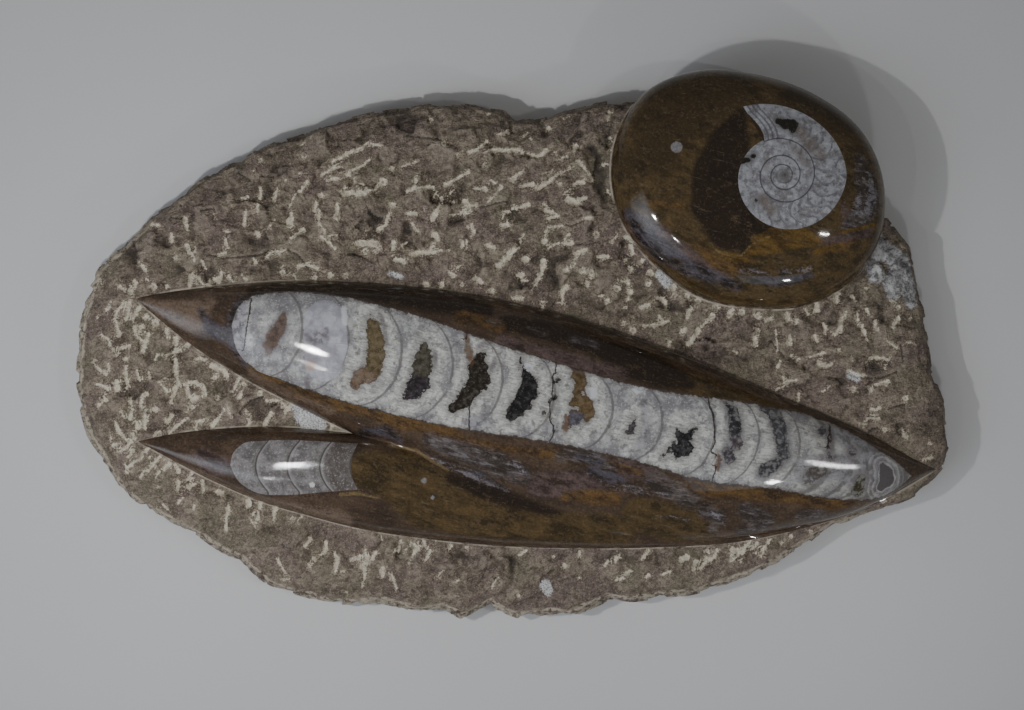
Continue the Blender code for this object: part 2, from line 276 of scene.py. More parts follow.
def declare(piece, finish, slot, *nodes, cut=True):
    """Scale to metres, smooth, dress and hand over a finished piece."""
    piece.data.vertices.foreach_set("co", (corners(piece) * MM).ravel())
    piece.data.shade_smooth()
    piece.data.update()
    piece.data.materials.clear()
    piece.data.materials.append(finish.material)
    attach(piece, "root")
    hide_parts(*nodes)
    if cut:
        piece.data.set_sharp_from_angle(angle=CUT_ANGLE)
    print(piece.name, "has", sum(len(p.vertices) - 2 for p in piece.data.polygons), "triangles")


# %% Shaping a grid and closing it to a solid
MERGE = 0.01


def put(verts, *xyz):
    """Move corners to the places that three arrays give."""
    for vert, place in zip(verts, zip(*xyz)):
        vert.co = place


def grid(mesh, rows, columns):
    """A new flat grid's corners, and their two coordinates from -1 to 1."""
    made = bmesh.ops.create_grid(mesh, x_segments=rows, y_segments=columns, size=1)["verts"]
    return made, *np.array([v.co[:2] for v in made]).T


def open_rim(mesh):
    return [e for e in mesh.edges if e.is_boundary]


def pull_rim(mesh, rim, place):
    """Extrude an open rim, put its new corners where place says, and give the new rim."""
    made = bmesh.ops.extrude_edge_only(mesh, edges=rim)["geom"]
    for vert in made:
        if isinstance(vert, bmesh.types.BMVert):
            vert.co = place(vert.co)
    return [e for e in made if isinstance(e, bmesh.types.BMEdge) and e.is_boundary]


def close_solid(mesh, height):
    """Carry a sheet's rim straight to a height and close it there, faces outwards."""
    bmesh.ops.remove_doubles(mesh, verts=mesh.verts, dist=MERGE)
    rim = pull_rim(mesh, open_rim(mesh), lambda corner: Vector((corner.x, corner.y, height)))
    bmesh.ops.edgeloop_fill(mesh, edges=rim)
    bmesh.ops.recalc_face_normals(mesh, faces=mesh.faces)


print("corners closer than", MERGE, "mm become one")

# %% [markdown]
# ## Strokes and cracks
#
# Stains, cavities and powdery patches are drawn as brush strokes: a path of points in
# millimetres, each with a radius. Every corner of a mesh then gets one number, its depth inside
# the broadest stroke, and a material later cuts that number off at a ragged edge. A crack is a
# path without a width. Its number changes sign from one side to the other, so that the line
# stays thin between two corners of the mesh.


# %% How deep corners lie in drawn strokes, and how far from cracks
FAR = 99.0


def spans(path):
    """The pieces of a path from point to point. One point alone makes one piece."""
    return zip(path, path[1:] or path)


def beside(x, y, first, last):
    """Where points lie beside a straight piece: its share before them, how far off, which side."""
    (ax, ay), (bx, by) = first, last
    run, rise = bx - ax, by - ay
    share = ((x - ax) * run + (y - ay) * rise) / max(run * run + rise * rise, 1e-9)
    t = np.clip(share, 0, 1)
    off = np.hypot(x - ax - t * run, y - ay - t * rise)
    return share, t, off, np.sign((y - ay) * run - (x - ax) * rise)


def within(x, y, *strokes):
    """Depth of each point inside the broadest of some strokes, negative outside, in mm."""
    deep = np.full(len(x), -FAR)
    for stroke in strokes:
        for (*first, start), (*last, end) in spans(stroke):
            _, t, off, _ = beside(x, y, first, last)
            deep = np.maximum(deep, start + (end - start) * t - off)
    return deep


def from_cracks(x, y, *cracks):
    """Distance from the nearest crack, with a change of sign from one side to the other."""
    nearest = np.full(len(x), FAR)
    for crack in cracks:
        for i, (first, last) in enumerate(spans(crack)):
            share, _, off, side = beside(x, y, first, last)
            beyond = ((share < 0) & (i == 0)) | ((share > 1) & (i == len(crack) - 2))
            nearest = np.where(off < np.abs(nearest), off * np.where(beyond, 1, side), nearest)
    return nearest


def add_number(piece, name, values):
    """Store one number for each corner, for a material to read."""
    layer = piece.data.attributes.new(name, "FLOAT", "POINT")
    layer.data.foreach_set("value", np.asarray(values, np.float32))


def add_depths(piece, x, y, stains):
    """Store, for each named set of stains or painted light, how deep inside its strokes every corner lies.
    """
    for name, strokes in stains.items():
        add_number(piece, name, within(x, y, *strokes))


print("depth at the middle of a stroke of radius 2:", within(np.zeros(1), np.zeros(1), [(0, 0, 2)])[0])

# %% [markdown]
# ## Writing materials as sums
#
# A node tree of fifty nodes is hard to read, and the same pattern written as a sum is not. The
# class below wraps one output socket, and adding, multiplying or dividing two of them adds the
# Math node that does it. Any other node comes from one method of the finish being made.


# %% Sockets that can be added and multiplied
class Wire:
    """An output socket that Python's operators can work on."""

    def __init__(self, finish, socket):
        self.finish, self.socket = finish, socket

    def math(self, operation, *others):
        """A Math node on this value and any others."""
        return self.finish.math(operation, self, *others)

    def __add__(self, other):
        return self.math("ADD", other)

    def __sub__(self, other):
        return self.math("SUBTRACT", other)

    def __rsub__(self, other):
        return self.finish.math("SUBTRACT", other, self)

    def __rtruediv__(self, other):
        return self.finish.math("DIVIDE", other, self)

    def __mul__(self, other):
        return self.math("MULTIPLY", other)

    def __truediv__(self, other):
        return self.math("DIVIDE", other)

    __radd__, __rmul__ = __add__, __mul__

    def step(self, low, high):
        """0 below low, 1 above high and smooth between them. With low over high it falls."""
        if low > high:
            return 1 - self.step(high, low)
        sockets = {"Value": self, "From Min": low, "From Max": high}
        return self.finish.node("ShaderNodeMapRange", {"interpolation_type": "SMOOTHSTEP"}, sockets)

    def line(self, width):
        """1 where the value is zero, fading to 0 at this distance on both sides."""
        return self.math("ABSOLUTE").step(width, width * 0.35)

    def sway(self, width):
        """A pattern of 0 to 1 as a swing of this width around zero."""
        return (self - 0.5) * width

    def nearest_whole(self):
        """How far the value lies from the nearest whole number."""
        return (self + 0.5).math("FRACT") - 0.5


print("a wire has", sum(map(callable, vars(Wire).values())), "methods")


# %% A finish under construction
def tone(red, green, blue):
    """A color from a paint chart's numbers of 0 to 255, as the linear values that nodes use."""
    parts = [c / 255 for c in (red, green, blue)]
    return tuple(round(p / 12.92 if p < 0.04 else ((p + 0.055) / 1.055) ** 2.4, 4) for p in parts)


class Finish:
    """A material under construction, around one Principled shader."""

    def __init__(self, name, **constants):
        self.material = bpy.data.materials.new(name)
        self.material.use_nodes = True
        self.tree = self.material.node_tree
        self.shader = self.tree.nodes["Principled BSDF"]
        for socket, value in constants.items():
            self.shader.inputs[socket.replace("_", " ").title()].default_value = value
        place = self.node("ShaderNodeTexCoord", out="Object")
        self.place = self.vector("MULTIPLY", place, (1000, 1000, 1000))
        axes = self.node("ShaderNodeSeparateXYZ", None, {0: self.place}).socket.node
        self.x, self.y = (Wire(self, socket) for socket in axes.outputs[:2])

    def node(self, kind, settings=None, sockets=None, out=0):
        """Any node: its settings first, then the values or wires of its inputs."""
        made = self.tree.nodes.new(kind)
        for name, value in (settings or {}).items():
            setattr(made, name, value)
        for name, value in (sockets or {}).items():
            if isinstance(value, Wire):
                self.tree.links.new(value.socket, made.inputs[name])
            else:
                made.inputs[name].default_value = value
        return Wire(self, made.outputs[out])

    def math(self, operation, *values):
        return self.node("ShaderNodeMath", {"operation": operation}, dict(enumerate(values)))

    def vector(self, operation, first, second):
        return self.node("ShaderNodeVectorMath", {"operation": operation}, {0: first, 1: second})

    def mix(self, mask, first, second):
        """The first color where the mask is 0, the second where it is 1."""
        first, second = (c if isinstance(c, Wire) else (*tone(*c), 1) for c in (first, second))
        return self.node("ShaderNodeMix", {"data_type": "RGBA"}, {0: mask, 6: first, 7: second}, out=2)

    def layers(self, color, *coats):
        """A color under coats, each a mask and the color that it shows where it is 1."""
        for mask, coat in coats:
            color = self.mix(mask, color, coat)
        return color

    def spread(self, size, stretch, turn, seed, place):
        """Coordinates for a pattern of this many millimetres, stretched along a turned axis."""
        sockets = {
            "Vector": place or self.place,
            "Location": (seed * size,) * 3,
            "Rotation": (0, 0, turn),
            "Scale": tuple(s * size for s in stretch),
        }
        return self.node("ShaderNodeMapping", {"vector_type": "TEXTURE"}, sockets)

    def noise(self, size, detail=3, rough=0.55, stretch=(1, 1, 1), turn=0.0, seed=0.0, place=None):
        """Noise of 0 to 1 with features of this many millimetres."""
        sockets = {"Vector": self.spread(size, stretch, turn, seed, place), "Scale": 1.0}
        return self.node("ShaderNodeTexNoise", None, {**sockets, "Detail": detail, "Roughness": rough})

    def cells(self, size, feature="F1", stretch=(1, 1, 1), turn=0.0, seed=0.0, place=None, out="Distance"):
        """Voronoi cells of this many millimetres: distances from their middles or borders."""
        sockets = {"Vector": self.spread(size, stretch, turn, seed, place), "Scale": 1.0}
        return self.node("ShaderNodeTexVoronoi", {"feature": feature}, sockets, out)

    def number(self, name, out="Fac"):
        """A number, or a color, stored on the mesh."""
        return self.node("ShaderNodeAttribute", {"attribute_name": name}, out=out)

    def close(self, color, height=None, distance=0.0):
        """Wire up the color, and relief of this many millimetres from a height of 0 to 1."""
        self.tree.links.new(color.socket, self.shader.inputs["Base Color"])
        if height is not None:
            bump = self.node("ShaderNodeBump", None, {"Height": height, "Distance": distance * MM})
            self.tree.links.new(bump.socket, self.shader.inputs["Normal"])


print("chart gray 128 is", tone(128, 128, 128)[0], "in linear light")

# %% [markdown]
# ## The chiselled stone
#
# The slab's top is worked with a point chisel. Each blow leaves a small groove, widest where
# the point bit and tapering where it slid out, and bruises the stone to a pale powder. Between
# the blows the limestone breaks in flat flakes.
#
# One square grid is pulled out to the slab's outline, so its rows crowd evenly towards the
# broken edge, and its rim is extruded down the side. The relief is then laid on in layers:
# swells, flakes with their small steps, grain, and one groove for each blow of the chisel.

# %% The grid, pulled out to the slab's outline and down its side
FIELD_ROWS, FIELD_COLUMNS, SIDE_RINGS = 400, 250, 17
SLAB_HALF = (194, 115)
HIDDEN_DEPTH = 3.0  # corners this far inside a polished outline are never seen
KEPT_BRIM = 3.0  # but this much of the slab's brim always stays

rough = bmesh.new()
made, u, v = grid(rough, FIELD_ROWS, FIELD_COLUMNS)
angle = np.arctan2(v * SLAB_HALF[1], u * SLAB_HALF[0])
reach = np.maximum(np.abs(u), np.abs(v)) * (slab_reach(angle) - BRIM_INSET)
put(made, reach * np.cos(angle), reach * np.sin(angle), 0 * reach)
rim = open_rim(rough)
for ring in range(1, SIDE_RINGS + 1):
    rim = pull_rim(rough, rim, lambda corner, ring=ring: Vector((corner.x, corner.y, -ring)))
bmesh.ops.edgeloop_fill(rough, edges=rim)
print("the rough grid has", len(rough.verts), "corners")

# %% [markdown]
# The outlines of the polished forms are kept as closely spaced points in a tree that finds the
# nearest one quickly. The distance from them thins the relief out beside the polish, places a
# thin pale line along the edge, and tells which corners can be dropped because the polish covers
# them. Each point also says how bright that line is painted there: brightest along the south
# sides and at the west end, which face the lamps, as a painted highlight over the bruised edge.

# %% Distances from the polished outlines
OUTLINE_POINTS = 900
FADED_ARC = (-0.6, 2.4)  # the button's edge line is painted dim between these two turns, away from the lamps
stations = np.linspace(0, 1, OUTLINE_POINTS)
west, notch_x, east = WEST_TIP[0], NOTCH[0], EAST_TIP[0]
outline = []
for line, first, last, pale in (
    (large_north, west, -90, 1.0),
    (large_north, -90, east, 0.25),
    (large_south, west, notch_x, 1.0),
    (small_north, WEST_TIP_SMALL[0], notch_x, 1.0),
    (small_south, WEST_TIP_SMALL[0], east, 0.85),
):
    xs = first + (last - first) * stations
    outline += [(a, b, pale) for a, b in zip(xs, line(xs))]
for turn in math.tau * stations - math.pi:
    ray = float(button_reach(turn))
    pale = 0.2 if FADED_ARC[0] < turn < FADED_ARC[1] else 1.0
    x, y = BUTTON_MIDDLE[0] + ray * math.cos(turn), BUTTON_MIDDLE[1] + ray * math.sin(turn)
    outline.append((x, y, pale))
tree = kdtree.KDTree(len(outline))
for i, (x, y, _) in enumerate(outline):
    tree.insert((x, y, 0), i)
tree.balance()


def in_ridges(x, y):
    """Whether a point lies on either polished ridge."""
    low = np.where(x < notch_x, large_south(x), small_south(x))
    large = (y < large_north(x)) & (y > low) & (x > west) & (x < east)
    small = (y < small_north(x)) & (y > small_south(x)) & (x > WEST_TIP_SMALL[0]) & (x < notch_x)
    return large | small


def in_button(x, y):
    away = np.hypot(x - BUTTON_MIDDLE[0], y - BUTTON_MIDDLE[1])
    return away < button_reach(np.arctan2(y - BUTTON_MIDDLE[1], x - BUTTON_MIDDLE[0]))


def from_polish(x, y):
    """Distance outside the polished outlines, negative inside them, and how pale the edge is."""
    found = [tree.find((a, b, 0)) for a, b in zip(x, y)]
    gap = np.array([f[2] for f in found])
    pale = np.array([outline[f[1]][2] for f in found])
    return np.where(in_ridges(x, y) | in_button(x, y), -gap, gap), pale


print("the outlines hold", len(outline), "points")

# %% Drop the corners under the polish and close the holes they leave
plan = np.array([v.co[:] for v in rough.verts])
outside, _ = from_polish(plan[:, 0], plan[:, 1])
inward = slab_reach(np.arctan2(plan[:, 1], plan[:, 0])) - BRIM_INSET - np.hypot(plan[:, 0], plan[:, 1])
covered = (outside < -HIDDEN_DEPTH) & (plan[:, 2] == 0) & (inward > KEPT_BRIM)
hidden = [v for v, c in zip(list(rough.verts), covered) if c]
bmesh.ops.delete(rough, geom=hidden, context="VERTS")
bmesh.ops.edgeloop_fill(rough, edges=open_rim(rough))
stone = to_object(rough, "chiselled_limestone")
print(len(hidden), "hidden corners dropped")

# %% [markdown]
# Each blow is a stroke. The point bit in at one end and slid out at the other, so most strokes
# taper, and some turn a corner. A blow that only dented the stone left a round dot. The larger
# ones are set down one by one: x and y in millimetres and the radius in tenths, then the same
# for each further point, whose x and y are steps from the point before. Fainter pecks are
# scattered between them, slanting the way the mason worked in that part.

# %% Where the chisel struck
MARKS = (
    (-62, 89, 7, 4, -1, 5), (-36, 100, 8), (-30, 89, 14), (-19, 85, 11, 3, 1, 7, 5, 4, 5),
    (-12, 85, 4, 3, 1, 8, 5, 0, 9), (-6, 93, 6, 4, 1, 10), (-2, 86, 9, 5, 0, 8),
    (4, 85, 4, 4, -1, 8, 4, -1, 6, 3, 3, 9), (8, 91, 6), (16, 96, 10), (20, 90, 6),
    (28, 88, 12, -1, -2, 10), (43, 86, 7), (43, 103, 10, -1, -3, 6), (43, 92, 5, 1, -2, 4),
    (-112, 62, 8, 0, -3, 4), (-111, 82, 11), (-111, 70, 4, 0, -5, 8), (-103, 70, 4, -2, -6, 10),
    (-90, 72, 8, -2, -3, 5, -4, -3, 4, -2, -5, 3), (-86, 63, 7, -1, -4, 4), (-84, 66, 10),
    (-84, 75, 8, 5, 3, 4), (-81, 73, 7, 6, 1, 4), (-79, 78, 8, 4, 1, 4),
    (-79, 81, 5, 5, 3, 9, 8, 3, 7, 2, 2, 4), (-77, 62, 7, 0, -6, 11), (-74, 67, 14, 9, 0, 13),
    (-73, 75, 11, 3, 2, 7, 4, 2, 5, 3, 3, 4), (-69, 72, 7, 3, -1, 4, 3, -3, 4, 3, 1, 5), (-57, 72, 17),
    (-54, 78, 4, 1, 0, 10), (-53, 62, 14, 1, 0, 9), (-48, 79, 6, 6, 2, 4), (-46, 68, 7, 3, 1, 4, 1, 4, 4),
    (-41, 69, 9, 6, 1, 6), (-32, 62, 6, -2, -4, 11, -1, -2, 14), (-31, 65, 7),
    (-29, 71, 9, 7, 4, 5, 3, 2, 4), (-26, 63, 7), (-21, 63, 16, 2, -2, 11, 3, 1, 8),
    (-17, 69, 6, 5, 0, 11),
    (-12, 80, 8), (-5, 70, 11, -1, -2, 4, -5, -5, 3), (0, 73, 11, 2, 2, 7, 3, 2, 4), (4, 70, 7, 5, 1, 10),
    (11, 69, 7, 5, 3, 11, 3, 3, 5, 7, 3, 4), (20, 82, 4, 4, 1, 7), (21, 71, 8),
    (25, 64, 16, 3, -1, 14, 4, 2, 10), (27, 71, 8, 4, 1, 10), (29, 81, 11, 2, -2, 7, 2, -3, 4),
    (34, 75, 10, 1, -2, 7), (40, 80, 5, 2, 0, 7), (42, 68, 6, 1, -1, 4), (-164, 37, 5, 3, -4, 4),
    (-160, 54, 5, 4, -1, 7), (-150, 49, 5, 0, -3, 10), (-148, 39, 9), (-144, 56, 10, 1, -5, 7),
    (-143, 44, 11, 1, -3, 9), (-136, 37, 7, 1, -3, 5), (-129, 40, 7, 3, 1, 5), (-126, 47, 5, 1, -4, 4),
    (-125, 50, 9), (-117, 60, 4, -1, -7, 7), (-114, 38, 5, 1, -1, 10), (-112, 49, 12),
    (-108, 39, 8, 2, 2, 4), (-103, 41, 8, 3, 1, 4), (-98, 54, 18, 1, 4, 6),
    (-92, 51, 10, -3, -2, 6, -3, -3, 4), (-85, 59, 7, 0, -5, 6, 2, -3, 4), (-84, 48, 7, 6, -5, 4),
    (-68, 45, 17), (-66, 45, 18, 6, 0, 15), (-65, 41, 8), (-54, 58, 4, -2, -5, 6, -3, -2, 12),
    (-52, 45, 13, -1, -3, 9), (-51, 38, 11, 3, -1, 14), (-44, 40, 13, 3, 1, 11, 6, 0, 7, 4, 1, 4),
    (-44, 54, 4, 2, -3, 7), (-43, 58, 14, -3, 0, 8), (-36, 43, 7, 2, 1, 4), (-34, 49, 14, 1, -2, 11),
    (-28, 42, 5), (-22, 46, 6, 0, -3, 5), (-21, 59, 8), (-20, 46, 5, 0, -3, 4), (-18, 53, 9, 1, -3, 10),
    (-11, 44, 11, 3, -1, 10), (-4, 59, 5, 2, 0, 7), (-4, 53, 12, 2, 0, 9), (0, 60, 4, 4, 1, 7, 3, 1, 11),
    (3, 43, 4, -3, -1, 9, -2, -3, 18, -2, -2, 6, -2, -2, 14), (6, 38, 16), (14, 46, 14),
    (14, 37, 14, -1, -4, 9, -1, -3, 8, -3, -5, 4), (15, 59, 11, 3, 0, 4), (16, 56, 9, 4, 1, 6),
    (16, 43, 4, 3, 2, 4, 4, 0, 5, 3, 0, 12), (17, 52, 4, 5, 1, 4), (23, 47, 4, 2, 2, 6), (27, 36, 10),
    (32, 42, 12, -3, -1, 10, -1, -3, 4), (32, 56, 8, 4, 0, 9), (37, 49, 15), (42, 39, 10, -4, 0, 7),
    (50, 48, 8, 2, -1, 10), (52, 44, 10, 1, -3, 7), (57, 37, 13), (-179, 15, 4, 2, 2, 7),
    (-173, 26, 7, 2, -1, 4), (-171, 19, 5, -3, -4, 9, -1, -3, 5), (-169, 14, 11, -1, -2, 5),
    (-168, 24, 13),
    (-168, 20, 6, -1, -3, 11), (-166, 28, 11, 0, -2, 7), (-164, 17, 8, -3, -5, 5), (-161, 13, 14),
    (-158, 26, 15), (-152, 26, 11), (-141, 31, 13, -1, -5, 6), (-138, 30, 6, 2, -3, 4),
    (-131, 29, 12, 2, 1, 5), (-129, 28, 8, 1, 5, 4), (-125, 31, 8, 2, -3, 5), (-119, 31, 6, 2, -2, 4),
    (-101, 32, 15), (-96, 31, 6, 1, -2, 4), (-94, 35, 10, 3, 1, 4, 5, -2, 10), (-87, 30, 12),
    (-80, 31, 15),
    (-73, 31, 11), (-38, 27, 13), (-31, 27, 12), (-28, 33, 4, 2, -2, 11), (-22, 27, 10),
    (-16, 30, 11, 2, -2, 13), (-9, 24, 14), (1, 21, 9, 3, 0, 11), (4, 31, 15, -2, 0, 7), (24, 33, 12),
    (24, 26, 12, -2, -2, 9, 0, -4, 4), (31, 33, 14), (33, 28, 11, 0, -2, 7), (35, 32, 16), (42, 20, 12),
    (46, 25, 16), (50, 17, 8), (51, 29, 6, 0, -2, 7), (52, 34, 12), (52, 24, 12, -1, -3, 7),
    (57, 17, 8, 3, 1, 10), (60, 27, 11), (61, 32, 16), (64, 21, 10, 2, 0, 10), (65, 13, 6, 1, -2, 7),
    (67, 20, 10, 1, -3, 6), (71, 27, 11, 0, -3, 12), (72, 22, 10), (77, 22, 13),
    (79, 17, 8, -1, -2, 12, -1, -3, 6), (82, 20, 14), (88, 13, 14, -2, -2, 9, -2, -2, 4), (90, 17, 15),
    (97, 16, 10, -1, -2, 12, -1, -2, 6), (101, 15, 15), (108, 13, 15), (114, 12, 11, -2, -1, 6),
    (121, 14, 11, 0, -2, 13), (129, 16, 7, 1, -2, 6), (134, 16, 15, 0, 3, 7), (143, 23, 14, 0, -4, 9),
    (147, 15, 4, -2, -4, 11, -1, -4, 13, -2, -2, 6), (150, 22, 7, 1, -2, 5), (152, 15, 5, 0, -4, 6),
    (156, 16, 8, 1, -2, 5), (167, 20, 11), (170, 12, 10, -3, -4, 4), (170, 17, 11), (176, 12, 7),
    (-185, -7, 4, 4, -4, 6, 2, -1, 9), (-181, 5, 5, 3, -2, 6), (-177, 1, 4, 3, -5, 8),
    (-174, 10, 5, 1, -5, 10), (-172, -1, 8, 4, 1, 6), (-170, -10, 5, 0, -4, 11, 1, -3, 5), (-170, -6, 11),
    (-166, 8, 10, 0, -2, 6), (-165, -11, 4, 1, -4, 4), (-163, 8, 11, -2, -3, 5),
    (-160, 5, 8, -1, -3, 10, -2, -4, 11), (-160, -12, 6, 0, -2, 9), (-157, 10, 17),
    (-156, -4, 6, -1, -2, 4), (-152, 7, 12, 0, -3, 6), (-148, 3, 11, 0, -2, 12),
    (-148, -6, 7, 0, -6, 11, 1, -4, 9, -2, -5, 11, -1, -4, 6), (-146, -2, 7, -6, -2, 4), (-143, 0, 10),
    (-139, -6, 11, 4, 0, 7), (-132, -9, 14, 3, -1, 12), (-127, -11, 15, 1, -2, 11), (49, 10, 10),
    (53, 7, 14), (58, 9, 5, 6, 0, 8, 5, 2, 7), (69, 2, 10, 0, -2, 7), (75, 6, 11, 1, 1, 10),
    (82, 7, 13, -2, -3, 9, -2, -3, 13), (107, 4, 6, 0, -3, 13), (108, 7, 12), (116, 7, 4, 1, -9, 3),
    (118, -7, 7, -1, -2, 5), (122, 4, 9, 0, -3, 12), (123, -4, 6), (125, 11, 12), (126, -6, 7),
    (131, -5, 4, 4, 1, 8, 2, 1, 6), (133, 4, 11, 1, -2, 7), (135, -8, 9, 3, -1, 11, 3, 1, 7),
    (137, 10, 6, 1, -3, 9, 0, -2, 5), (143, -2, 13), (148, -11, 7, 3, -2, 11, 3, 0, 12),
    (154, 9, 8, 1, -4, 9, 1, -2, 4), (156, -7, 4, 2, 2, 7, 8, -1, 7), (160, 11, 9, 0, -4, 7),
    (165, 2, 4, 4, -3, 7), (-183, -17, 4, 4, -1, 7, 1, -1, 10), (-182, -26, 9), (-180, -22, 6, 1, -2, 8),
    (-175, -33, 3, 2, -5, 10, 3, -3, 5), (-174, -16, 12, 0, -3, 14), (-172, -29, 8, 1, -2, 7),
    (-168, -23, 7, 0, -2, 9), (-167, -28, 5, -1, -4, 9), (-165, -34, 8, 0, -2, 9),
    (-161, -28, 6, -1, -5, 7, 0, -3, 9), (-161, -21, 10, -2, -3, 6, 0, -3, 5), (-157, -28, 15),
    (-155, -16, 4, 3, -4, 5), (-150, -31, 11, -2, -2, 15), (-144, -17, 5, 4, 1, 8, 2, -1, 10),
    (-143, -19, 10, 1, -3, 12), (-143, -32, 4, -4, -3, 6, -4, -3, 5), (-141, -27, 10),
    (-140, -35, 4, -4, -3, 7), (-139, -23, 13, -2, -1, 9), (-136, -17, 6, 1, -4, 9),
    (-135, -32, 4, -4, -2, 7, 0, -3, 8), (-131, -14, 11), (-130, -23, 12),
    (-127, -29, 4, -3, -4, 6, -2, -2, 12), (-121, -33, 5, -2, -3, 4), (-120, -14, 6, -3, -6, 4),
    (-119, -20, 5, -1, -3, 7), (-118, -17, 10), (-116, -33, 5, 0, -2, 9), (-111, -21, 12),
    (-108, -24, 6, 6, 0, 5), (-106, -30, 10, -3, -5, 9), (-102, -31, 6, -4, -5, 4), (-101, -26, 10),
    (-97, -32, 4, -2, -3, 8, -1, -2, 7), (-97, -26, 8, -2, -2, 10, -1, -2, 5), (-79, -35, 10, -1, -2, 6),
    (119, -13, 6, 1, -3, 7, 5, 1, 6), (126, -21, 5, 0, -3, 4), (144, -31, 6, 4, -4, 4), (150, -19, 13),
    (152, -35, 7, 1, -2, 4), (156, -32, 6, 5, 0, 8), (157, -18, 7, 1, -2, 5), (158, -28, 10, 3, 0, 9),
    (160, -17, 7, 5, 1, 9), (173, -23, 11), (-174, -43, 8, -2, -1, 5),
    (-168, -42, 8, -2, -3, 7, -4, -2, 4),
    (-167, -39, 8, 1, -2, 6), (-167, -46, 7, -2, -3, 4), (-163, -49, 6, -7, -5, 4),
    (-162, -55, 6, -2, -3, 3), (-160, -45, 7, -2, -2, 6), (-155, -38, 6, -2, -1, 8),
    (-155, -49, 8, -3, -3, 9, -2, -3, 4), (-155, -55, 6, -2, -3, 4), (-151, -52, 14, -2, -2, 8),
    (-148, -53, 10), (-147, -55, 11), (-141, -56, 7, -2, -3, 5), (-136, -60, 11, 0, -4, 7),
    (164, -37, 11),
    (173, -40, 9, -1, 3, 5), (181, -50, 6, 4, 1, 9), (184, -43, 7), (-152, -72, 6, -2, 2, 4),
    (-147, -60, 10, 0, -4, 5), (-145, -67, 5, -2, -2, 4), (-142, -62, 13, 2, 1, 8),
    (-140, -70, 5, 0, -2, 4), (-130, -64, 13, 2, -1, 11), (-126, -77, 4, 0, -4, 8),
    (-125, -70, 4, 0, -3, 12, -1, -2, 7), (-122, -66, 12, 3, 1, 7), (-116, -68, 11, 0, -2, 13),
    (-112, -73, 7, 0, -3, 9), (-111, -69, 8, 0, -2, 9), (-104, -71, 10, -1, -3, 8, 0, -3, 5),
    (132, -82, 8),
    (137, -78, 5), (141, -78, 6, 2, 2, 4), (-103, -94, 4, 3, -6, 4), (-89, -97, 9),
    (-89, -85, 10, -2, -3, 6), (-87, -94, 8), (-82, -87, 8, 0, -3, 8, -2, -2, 4),
    (-78, -91, 5, 1, -3, 12, -1, -6, 4), (-74, -99, 5), (-67, -93, 8, -3, -1, 10),
    (-66, -96, 7, 1, -3, 15, 0, -3, 4, -1, -4, 3), (-65, -90, 7, 1, -4, 9),
    (-60, -91, 10, -2, -3, 8, -1, -2, 4), (-57, -98, 9, 0, -3, 9), (-53, -101, 6, 1, -3, 9, 1, -3, 4),
    (-49, -86, 7, -1, -3, 9, 0, -2, 4), (-44, -87, 7, 2, -2, 12, -2, -4, 5), (-39, -86, 9, 1, -3, 5),
    (-36, -90, 7, -2, -4, 6), (-27, -88, 8, -1, -2, 4), (-20, -89, 9), (6, -90, 6, -3, -2, 4),
    (23, -97, 11), (30, -91, 5, -1, -2, 7), (42, -95, 6, -1, -2, 5), (46, -93, 9, -1, -2, 6),
    (46, -103, 8),
    (52, -99, 8, -3, -2, 4), (59, -102, 5, 1, 1, 8), (60, -90, 7, -2, -3, 7, -1, -1, 4),
    (73, -88, 10, -2, -2, 7), (75, -94, 11, 2, 1, 12), (81, -95, 11, -1, -4, 5), (86, -90, 10),
    (86, -94, 11, -3, -4, 7), (90, -90, 6, -1, -3, 10, -3, -2, 7), (97, -90, 16, 4, -1, 12),
    (97, -94, 10),
    (105, -86, 4, -3, -3, 9), (108, -87, 6, -3, -3, 4), (111, -90, 6, -1, -3, 4),
    (114, -85, 6, -4, -5, 5),
    (119, -87, 6), (123, -84, 9),
)
print(len(MARKS), "blows set down one by one")

# %% Every blow in millimetres, with fainter pecks between them
FAINT_PECKS = 330
PECK_X, PECK_Y, PECK_RADIUS = (-190, 185), (-112, 108), (0.25, 0.65)
PECK_LENGTHS, PECK_TAPER, PECK_SPREAD = (0, 0, 1.5, 2.5, 4), 0.4, 24


def blow(mark):
    """A mark's points, with the steps added up and the radii in millimetres."""
    x, y = np.cumsum(mark[0::3]), np.cumsum(mark[1::3])
    return [(int(a), int(b), r / 10) for a, b, r in zip(x, y, mark[2::3])]


def slant(x, y):
    """How steeply the mason struck in that part of the slab, in degrees."""
    return 95 if x < -112 and y < 62 else 62 if y < -35 and x < 60 else 28


chance = random.Random(11)
blows = [blow(mark) for mark in MARKS]
for _ in range(FAINT_PECKS):
    x, y = chance.uniform(*PECK_X), chance.uniform(*PECK_Y)
    turn, length = math.radians(chance.gauss(slant(x, y), PECK_SPREAD)), chance.choice(PECK_LENGTHS)
    radius = chance.uniform(*PECK_RADIUS)
    far_end = (x + length * math.cos(turn), y + length * math.sin(turn), radius * PECK_TAPER)
    blows.append([(x, y, radius), far_end] if length else [(x, y, radius)])
print(len(blows), "blows and pecks in all")

